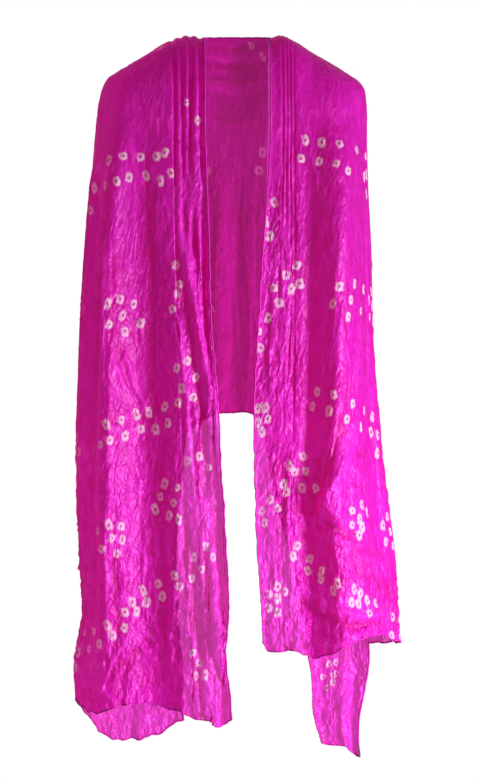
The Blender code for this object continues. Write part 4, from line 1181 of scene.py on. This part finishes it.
@functools.cache
def silk():
    """Thin crushed silk: two layers of it look deeper and redder than one."""
    settings = bpy.context.scene.stole_settings
    tree = Tree(bpy.data.materials.new("crushed_silk"))
    place = tree.object_place()
    wind = tree.noise(place, 26.0, output=1)
    loose = tree.vectors("MULTIPLY_ADD", wind, (0.012, 0.012, 0.012), place)
    upright = creased(tree, loose, (0.018, 0.018, 0.100), 0.08, 0.3) ** 7.0
    crossing = creased(tree, loose, (0.015, 0.015, 0.034), -0.62, 0.9) ** 8.0
    leaning = crushed(tree, loose, (0.0068, 0.0068, 0.022), 0.36, 1.1)
    falling = crushed(tree, loose, (0.0040, 0.0040, 0.011), -0.70, 1.9)
    height = upright * 0.0011 + crossing * 0.0008 + leaning * 0.0034 + falling * 0.0009
    weave = tree.noise(place, 1500.0, 1.0)
    height = tree.attribute("crush") * height + weave * 0.00005
    bump = tree.node("ShaderNodeBump", {}, Strength=settings.bump, Distance=1.0, Height=height)

    frayed = tree.attribute("dot_reach") + (tree.noise(place, 290.0, 3.0) - 0.5) * 0.80
    ring = (1.0 - tree.step(frayed, 0.74, 1.02)) * tree.step(frayed, 0.16, 0.42)
    threads = tree.step(tree.noise(place, 800.0), 0.30, 0.60)
    ring = ring * (0.78 + 0.22 * threads) * (0.82 + 0.18 * tree.attribute("dot_tone"))
    cloud = tree.noise(place, 9.0, 3.0)
    streak = tree.noise(tree.object_place((1.0, 1.0, 0.30)), 120.0, 4.0)
    upwards = tree.node("ShaderNodeSeparateXYZ", {}, place, output=2)
    painted_light_height = tree.attribute("painted_light_height")
    # Painted light in the colour: the worn colour on raised cloth and bands, on raised facets and on
    # upright crinkle tops is painted highlight; the fold colour in troughs and along the crossing
    # crinkles is painted shade; the upper colour is painted shade towards the shoulders. The deep clouds,
    # the worn streaks, the dots and the stain are the silk's own colour.
    colour = settings.dye
    for share, other in (
        (tree.step(cloud, 0.35, 0.70), settings.dye_deep),
        (tree.step(streak, 0.40, 0.75) * 0.4, settings.worn_dye_and_highlight),
        (tree.step(upwards, -0.80, -0.12) * 0.7, settings.painted_upper_shade),
        (tree.step(painted_light_height, 0.2, 2.2) * 0.70, settings.worn_dye_and_highlight),
        (tree.step(painted_light_height, -0.2, -1.8) * 0.75, settings.painted_fold_shade),
        (tree.step(leaning, 0.04, 0.22) * 0.20, settings.worn_dye_and_highlight),
        (tree.step(upright, 0.5, 0.95) * 0.45, settings.worn_dye_and_highlight),
        (tree.step(crossing, 0.5, 0.95) * 0.35, settings.painted_fold_shade),
        (ring.clamp(), settings.dot),
        (tree.attribute("stain"), STAIN),
    ):
        colour = tree.mix(share, colour, other)
    body = tree.node(
        "ShaderNodeBsdfPrincipled", {}, Base_Color=colour, Normal=bump,
        Roughness=0.37 + 0.12 * weave + 0.16 * ring,
        Specular_IOR_Level=settings.gloss, Specular_Tint=settings.gloss_tint,
    )
    glow = tree.node("ShaderNodeBsdfTranslucent", {}, Color=settings.glow, Normal=bump)
    sheer = tree.node("ShaderNodeBsdfTransparent", {}, Color=settings.sheer)
    lit = tree.node("ShaderNodeMixShader", {}, settings.translucence, body, glow)
    share = settings.sheerness * tree.attribute("thinness")
    return tree.finished(tree.node("ShaderNodeMixShader", {}, share, lit, sheer))


@functools.cache
def edging():
    """The rolled hem: the same silk, several layers thick, with puckered thread marks."""
    settings = bpy.context.scene.stole_settings
    tree = Tree(bpy.data.materials.new("rolled_hem_silk"))
    place = tree.object_place()
    grain = tree.noise(place, 700.0, 4.0)
    colour = tree.mix(tree.step(grain, 0.35, 0.70), settings.hem, settings.hem_worn)
    colour = tree.mix(tree.step(tree.noise(place, 60.0), 0.45, 0.75) * 0.5, colour, settings.dye)
    colour = tree.mix(tree.attribute("stain"), colour, STAIN)
    bump = tree.node("ShaderNodeBump", {}, Strength=0.6, Distance=1.0, Height=grain * 0.0008)
    return tree.finished(tree.node(
        "ShaderNodeBsdfPrincipled", {}, Base_Color=colour, Roughness=0.45 + 0.2 * grain,
        Normal=bump, Specular_IOR_Level=0.25,
    ))


@functools.cache
def thread():
    tree = Tree(bpy.data.materials.new("hem_thread"))
    twist = tree.noise(tree.object_place(), 2400.0)
    colour = tree.mix(twist, (0.42, 0.004, 0.24, 1.0), (0.62, 0.03, 0.40, 1.0))
    rough = 0.4 + 0.2 * twist
    return tree.finished(
        tree.node("ShaderNodeBsdfPrincipled", {}, Base_Color=colour, Roughness=rough)
    )


def plain_paper():
    tree = Tree(bpy.data.materials.new("paper"))
    shade = tree.noise(tree.object_place(), 3.0)
    colour = tree.mix(shade * 0.04, (0.90, 0.90, 0.90, 1.0), (0.80, 0.80, 0.80, 1.0))
    return tree.finished(
        tree.node("ShaderNodeBsdfPrincipled", {}, Base_Color=colour, Roughness=0.9)
    )


def stitched_tree(name, sizes, finish):
    """Short stitches laid across the rolled hem, one after another along its path."""
    group = bpy.data.node_groups.new(name, "GeometryNodeTree")
    tree, face = Tree(group), group.interface
    face.new_socket("Path", in_out="INPUT", socket_type="NodeSocketGeometry")
    inputs = {}
    for label, value in sizes.items():
        kind = "NodeSocketInt" if isinstance(value, int) else "NodeSocketFloat"
        made = face.new_socket(label, in_out="INPUT", socket_type=kind)
        made.default_value = value
        inputs[made.identifier] = value
    face.new_socket("Stitches", in_out="OUTPUT", socket_type="NodeSocketGeometry")

    given = tree.node("NodeGroupInput")
    curve = tree.node("GeometryNodeMeshToCurve", {}, Mesh=given.out("Path"))
    points = tree.node(
        "GeometryNodeCurveToPoints", {"mode": "LENGTH"}, Curve=curve, Length=given.out("Spacing")
    )
    stitch = tree.node(
        "GeometryNodeMeshCylinder", {"fill_type": "TRIANGLE_FAN"}, Vertices=5, Side_Segments=1,
        Radius=given.out("Thread Thickness"), Depth=given.out("Stitch Length"),
    )
    jitter = tree.node(
        "FunctionNodeRandomValue", {"data_type": "FLOAT_VECTOR"},
        Min=(-0.35, -0.25, -0.25), Max=(0.35, 0.25, 0.25), Seed=given.out("Seed"),
    )
    turn = points.out("Rotation")
    for more in ((0.0, 0.9, 0.0), jitter):
        turn = tree.node(
            "FunctionNodeRotateRotation", {"rotation_space": "LOCAL"}, Rotation=turn, Rotate_By=more
        )
    placed = tree.node(
        "GeometryNodeInstanceOnPoints", {}, Points=points, Instance=stitch, Rotation=turn
    )
    up = tree.node("ShaderNodeCombineXYZ", {}, Y=given.out("Lift"))
    moved = tree.node("GeometryNodeTranslateInstances", {}, Instances=placed, Translation=up)
    real = tree.node("GeometryNodeRealizeInstances", {}, Geometry=moved)
    done = tree.node("GeometryNodeSetMaterial", {}, Geometry=real, Material=finish)
    tree.node("NodeGroupOutput", {}, done)
    return group, inputs


def colour(name, description, *rgb):
    return bpy.props.FloatVectorProperty(
        name=name, description=description, subtype="COLOR", size=4, default=(*rgb, 1.0), min=0, max=1
    )


def number(name, description, default, low=0.0, high=1.0, **kind):
    return bpy.props.FloatProperty(
        name=name, description=description, default=default, min=low, max=high, **kind
    )


class StoleSettings(bpy.types.PropertyGroup):
    """The silk's colours and finish."""

    dye: colour("Dye", "Colour of one layer of the silk", 0.82, 0.005, 0.66)
    dye_deep: colour("Deep Dye", "Where the dye took more strongly", 0.70, 0.002, 0.42)
    # Painted highlight: this paler colour is laid on raised folds, the gathered bands, facet tops and
    # crinkle ridges to stand for light on them; on the streaks it is real worn dye.
    worn_dye_and_highlight: colour(
        "Worn Dye And Highlight", "Worn streaks, and painted highlights on raised folds and crinkle tops", 0.96, 0.036, 0.80
    )
    # Painted shade: this darker colour darkens the cloth towards the shoulders, where less light falls.
    painted_upper_shade: colour(
        "Painted Upper Shade", "Towards the shoulders, where the dye is bluer", 0.46, 0.002, 0.38
    )
    # Painted shade: this darker colour fills the bottoms of the creases and the crossing crinkle lines.
    painted_fold_shade: colour("Painted Fold Shade", "Painted shade in the bottoms of the creases", 0.48, 0.001, 0.19)
    dot: colour("Dots", "Undyed rings where the cloth was tied", 0.97, 0.88, 0.95)
    glow: colour("Glow", "Light that the silk lets through and spreads", 0.92, 0.002, 0.25)
    sheer: colour("Sheer", "Tint of what is seen through one layer", 0.86, 0.10, 0.64)
    sheerness: number(
        "Sheerness", "Share of the light that passes straight through", 0.32, subtype="FACTOR"
    )
    translucence: number(
        "Translucence", "Share of the rest that glows through", 0.38, subtype="FACTOR"
    )
    gloss: number("Gloss", "How strongly the silk shines", 0.85, subtype="FACTOR")
    gloss_tint: colour("Gloss Tint", "Colour of the silk's shine", 0.95, 0.45, 1.0)
    bump: number("Fine Crinkle", "Strength of the finest crinkles", 1.0, subtype="FACTOR")
    hem: colour("Hem", "Colour of the rolled hem", 0.42, 0.003, 0.22)
    hem_worn: colour("Worn Hem", "Paler threads of the rolled hem", 0.60, 0.012, 0.38)
    hem_radius: number("Hem Radius", "Radius of the rolled hem", 0.0012, 0.0005, 0.003, unit="LENGTH")
    stitch_spacing: number(
        "Stitch Spacing", "From one hem stitch to the next", 0.0055, 0.002, 0.02, unit="LENGTH"
    )
    stitch_length: number(
        "Stitch Length", "Length of one hem stitch", 0.0030, 0.001, 0.01, unit="LENGTH"
    )
    thread_radius: number(
        "Thread Radius", "Radius of the hem's thread", 0.00022, 0.0001, 0.001, unit="LENGTH"
    )


class StageSettings(bpy.types.PropertyGroup):
    """The floor, the light and the camera."""

    floor_depth: number(
        "Floor Depth", "How far the floor lies below the neck", 1.42, 1.1, 2.0, unit="LENGTH"
    )
    key: number("Key Light", "Power of the soft light from the right", 74.0, 0.0, 500.0)
    fill: number("Fill Light", "Power of the soft light from the left", 3.0, 0.0, 500.0)
    frame_height: number(
        "Frame Height", "Height of what the camera shows", 1.17, 0.5, 3.0, unit="LENGTH"
    )


@functools.cache
def laid_stole():
    """The finished cloth's points, made once and shared by the pieces."""
    stole = Stole()
    stole.lay_out()
    stole.smooth_ring()
    stole.crease()
    stole.ruffle()
    dots = Dots(stole)
    dots.chart()
    dots.pucker()
    stole.reach, stole.tone = dots.measure()
    away = np.linalg.norm((stole.points - STAINED_TIP) * (1.0, 1.0, 0.45), axis=1)
    stole.stain = 0.9 * (1 - ease((away - 0.003) / 0.006))
    stole.normal = stole.normals()
    return stole


def new_mesh(name, points, faces, finish):
    mesh = bpy.data.meshes.new(name)
    mesh.from_pydata(np.asarray(points).tolist(), [], faces)
    mesh.materials.append(finish)
    mesh.shade_smooth()
    return mesh


def new_object(name, data):
    made = bpy.data.objects.new(name, data)
    bpy.context.scene.collection.objects.link(made)
    return made


def numbers(mesh, name, values):
    made = mesh.attributes.new(name, "FLOAT", "POINT")
    made.data.foreach_set("value", np.asarray(values, np.float32))


def cloth_piece(name, grids, nodes):
    """One piece of the cloth, from the shared points, with the dots as attributes."""
    stole = laid_stole()
    quads = np.concatenate([stole.quads(grid) for grid in grids])
    used, local = np.unique(quads, return_inverse=True)
    mesh = new_mesh(name, stole.points[used], local.reshape(quads.shape).tolist(), silk())
    # The painted light height goes along with the dots and the stain as an attribute; the silk paints
    # highlight and shade from it.
    for label, values in (
        ("dot_reach", stole.reach), ("dot_tone", stole.tone), ("crush", stole.crush),
        ("painted_light_height", stole.painted_light_height), ("stain", stole.stain),
    ):
        numbers(mesh, label, values[used])
    numbers(mesh, "thinness", np.full(len(used), THINNESS[name]))
    mesh.normals_split_custom_set_from_vertices(stole.normal[used])
    made = new_object(name, mesh)
    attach(made, "root")
    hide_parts(*nodes)


def hem_paths():
    """The free edges of the cloth, as rows of point indices, by the piece that covers them."""
    stole = laid_stole()
    half = TURN_ROWS // 2
    back, tail = stole.grids["back"], stole.grids["tail"]
    paths = {"neck": back[0], "back": back[-1], "tail_side": tail[:, -1], "tail_end": tail[-1]}
    for name in SIDES:
        hung, laid = stole.whole[name], stole.grids[name + "_shoulder"]
        paths[name + "_front_edge"] = np.concatenate([laid[: half + 1, 0][::-1], hung[1:, 0]])
        paths[name + "_end"] = hung[-1]
        paths[name + "_rear_edge"] = hung[ROWS_ABOVE_BACK_HEM:, -1]
    paths["right_end"] = paths["right_end"][: stole.tail_from + 1]
    paths["right_rear_edge"] = np.concatenate([paths["right_rear_edge"], tail[1:, 0]])
    return paths


def roll(path, radius):
    """A rolled hem along a path of the cloth's points: its points, faces, stain and line."""
    stole = laid_stole()
    line = stole.points[path]
    keep = [0]
    for i in range(1, len(line)):
        if np.linalg.norm(line[i] - line[keep[-1]]) > SHORTEST_HEM_STEP or i == len(line) - 1:
            keep.append(i)
    line, normal = line[keep], stole.normal[path][keep]
    for _ in range(2):
        line[1:-1] = 0.25 * line[:-2] + 0.5 * line[1:-1] + 0.25 * line[2:]
    side = unit(np.cross(unit(np.gradient(line, axis=0)), normal))
    up = np.cross(side, unit(np.gradient(line, axis=0)))
    uneven = 1 + 0.28 * swell(line * 160, 51) + 0.14 * swell(line * 420, 52)
    angle = np.linspace(0, 2 * np.pi, HEM_SIDES, endpoint=False)[None, :, None]
    ring = np.cos(angle) * side[:, None] + np.sin(angle) * up[:, None]
    points = line[:, None] + radius * uneven[:, None, None] * ring
    index = np.arange(len(line) * HEM_SIDES).reshape(len(line), HEM_SIDES)
    turned = np.roll(index, -1, axis=1)
    faces = np.stack([index[:-1], turned[:-1], turned[1:], index[1:]], -1).reshape(-1, 4).tolist()
    faces += [[index.size, b, a] for a, b in zip(index[0], turned[0])]
    faces += [[index.size + 1, a, b] for a, b in zip(index[-1], turned[-1])]
    points = np.concatenate([points.reshape(-1, 3), line[:1], line[-1:]])
    stain = stole.stain[path]
    stain = np.concatenate([np.repeat(stain[keep], HEM_SIDES), stain[[0, -1]]])
    return points, faces, stain, line


def hem_piece(name, edges, nodes):
    """The rolled hem along these edges, and the lines that it follows."""
    settings = bpy.context.scene.stole_settings
    paths = hem_paths()
    rolls = [roll(paths[edge], settings.hem_radius) for edge in edges]
    faces, first = [], 0
    for points, round_it, _, _ in rolls:
        faces += [[i + first for i in face] for face in round_it]
        first += len(points)
    points, _, stain, lines = zip(*rolls)
    mesh = new_mesh(name, np.concatenate(points), faces, edging())
    numbers(mesh, "stain", np.concatenate(stain))
    made = new_object(name, mesh)
    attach(made, "root")
    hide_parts(*nodes)
    return lines


def stitched(name, lines):
    """The hem's stitches along these lines, made by Geometry Nodes."""
    settings = bpy.context.scene.stole_settings
    edges, first = [], 0
    for line in lines:
        edges += [(first + i, first + i + 1) for i in range(len(line) - 1)]
        first += len(line)
    path = bpy.data.meshes.new(name + "_path")
    path.from_pydata(np.concatenate(lines).tolist(), edges, [])
    carrier = new_object(name + "_path", path)
    sizes = {"Spacing": settings.stitch_spacing, "Stitch Length": settings.stitch_length,
             "Thread Thickness": settings.thread_radius, "Lift": settings.hem_radius,
             "Seed": STITCH_SEED}
    modifier = carrier.modifiers.new("stitches", "NODES")
    modifier.node_group, inputs = stitched_tree(name + "_nodes", sizes, thread())
    for identifier, value in inputs.items():
        modifier[identifier] = value
    deps = bpy.context.evaluated_depsgraph_get()
    mesh = bpy.data.meshes.new_from_object(carrier.evaluated_get(deps))
    carrier.modifiers.remove(modifier)
    bpy.data.objects.remove(carrier)
    mesh.name = name
    made = new_object(name, mesh)
    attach(made, "root")


class STOLE_OT_left_fall(bpy.types.Operator):
    """Lay the left fall: gathered band, front panel and shoulder, and the layer behind"""

    bl_idname = "stole.left_fall"
    bl_label = "Left Fall"

    def execute(self, context):
        cloth_piece("left_fall", ("left_hanging", "left_shoulder"), ("left_band", "left_front"))
        cloth_piece("left_layer_behind", ("left_rear",), ("left_rear",))
        return {"FINISHED"}


class STOLE_OT_right_fall(bpy.types.Operator):
    """Lay the right fall, and the layer behind with its low corner"""

    bl_idname = "stole.right_fall"
    bl_label = "Right Fall"

    def execute(self, context):
        cloth_piece("right_fall", ("right_hanging", "right_shoulder"),
                    ("right_band", "right_front"))
        cloth_piece("right_layer_behind", ("right_rear", "tail"), ("right_rear", "right_tail"))
        return {"FINISHED"}


class STOLE_OT_back_sheet(bpy.types.Operator):
    """Lay the sheet that hangs across the back from the neck"""

    bl_idname = "stole.back_sheet"
    bl_label = "Back Sheet"

    def execute(self, context):
        cloth_piece("back_sheet", ("back",), ("back_panel",))
        return {"FINISHED"}


class STOLE_OT_rolled_hems(bpy.types.Operator):
    """Roll and stitch the hem along every free edge"""

    bl_idname = "stole.rolled_hems"
    bl_label = "Rolled Hems"

    def execute(self, context):
        groups = (
            ("left_rolled_hem", ("left_front_edge", "left_end", "left_rear_edge"),
             ("left_front_edge_hem", "left_end_hem", "left_rear_edge_hem")),
            ("right_rolled_hem",
             ("right_front_edge", "right_end", "right_rear_edge", "tail_side", "tail_end"),
             ("right_front_edge_hem", "right_end_hem", "right_rear_edge_hem",
              "tail_side_hem", "tail_end_hem")),
            ("back_rolled_hem", ("neck", "back"), ("neck_hem", "back_hem")),
        )
        for name, edges, nodes in groups:
            lines = hem_piece(name, edges, nodes)
            stitched(name.replace("rolled_hem", "hem_stitches"), lines)
        return {"FINISHED"}


class STOLE_OT_stage(bpy.types.Operator):
    """Set up the pale floor, the soft light and the camera"""

    bl_idname = "stole.stage"
    bl_label = "Stage"

    def execute(self, context):
        settings = context.scene.stole_stage
        scene = context.scene
        corners = [(x, y, -settings.floor_depth) for x, y in ((-6, -6), (6, -6), (6, 6), (-6, 6))]
        floor = new_object("floor", new_mesh("floor", corners, [(0, 1, 2, 3)], plain_paper()))
        for name, place, power, size in (
            ("key", (1.67, -1.04, -0.80), settings.key, 0.55),
            ("fill", (-1.6, -2.0, 0.1), settings.fill, 1.6),
            ("back_light", (0.3, 2.3, 0.9), settings.fill * 1.5, 1.8),
        ):
            data = bpy.data.lights.new(name, "AREA")
            data.energy = power
            data.size = size
            data.color = (0.94, 0.88, 1.0)
            light = new_object(name, data)
            light.location = place
            light.rotation_mode = "QUATERNION"
            aim = Vector((0.0, 0.0, -0.60)) - Vector(place)
            light.rotation_quaternion = aim.to_track_quat("-Z", "Y")
        tree = Tree(bpy.data.worlds.new("studio"))
        backdrop = tree.node("ShaderNodeBackground", {}, (1.0, 1.0, 1.0, 1.0), 1.0)
        light = tree.node("ShaderNodeBackground", {}, (1.0, 0.97, 0.98, 1.0), 0.25)
        seen = tree.node("ShaderNodeLightPath").out("Is Camera Ray")
        mixed = tree.node("ShaderNodeMixShader", {}, seen, light, backdrop)
        scene.world = tree.finished(mixed, "ShaderNodeOutputWorld")
        scene.view_settings.view_transform = "Standard"
        data = bpy.data.cameras.new("camera")
        data.type = "ORTHO"
        data.ortho_scale = settings.frame_height
        data.clip_end = 60
        scene.camera = new_object("camera", data)
        scene.camera.location = (0.0075, -6.0, -0.528)
        scene.camera.rotation_euler = (math.pi / 2, 0, 0)
        return {"FINISHED"}


class STOLE_PT_panel(bpy.types.Panel):
    """Lists the stole's pieces and settings"""

    bl_idname = "STOLE_PT_panel"
    bl_label = "Stole"
    bl_space_type = "VIEW_3D"
    bl_region_type = "UI"
    bl_category = "Stole"

    def draw(self, context):
        layout = self.layout
        for group in (context.scene.stole_settings, context.scene.stole_stage):
            for name in group.__annotations__:
                layout.prop(group, name)
        for piece in OPERATORS:
            layout.operator(piece.bl_idname)


SETTINGS = (StoleSettings, StageSettings)
OPERATORS = (
    STOLE_OT_left_fall, STOLE_OT_right_fall, STOLE_OT_back_sheet, STOLE_OT_rolled_hems,
    STOLE_OT_stage,
)


def register():
    for made in (*SETTINGS, *OPERATORS, STOLE_PT_panel):
        bpy.utils.register_class(made)
    bpy.types.Scene.stole_settings = bpy.props.PointerProperty(type=StoleSettings)
    bpy.types.Scene.stole_stage = bpy.props.PointerProperty(type=StageSettings)


def unregister():
    del bpy.types.Scene.stole_stage
    del bpy.types.Scene.stole_settings
    for made in reversed((*SETTINGS, *OPERATORS, STOLE_PT_panel)):
        bpy.utils.unregister_class(made)


def main():
    register()
    bpy.ops.stole.left_fall()
    bpy.ops.stole.right_fall()
    bpy.ops.stole.back_sheet()
    bpy.ops.stole.rolled_hems()
    bpy.ops.stole.stage()


if __name__ == "__main__":
    main()
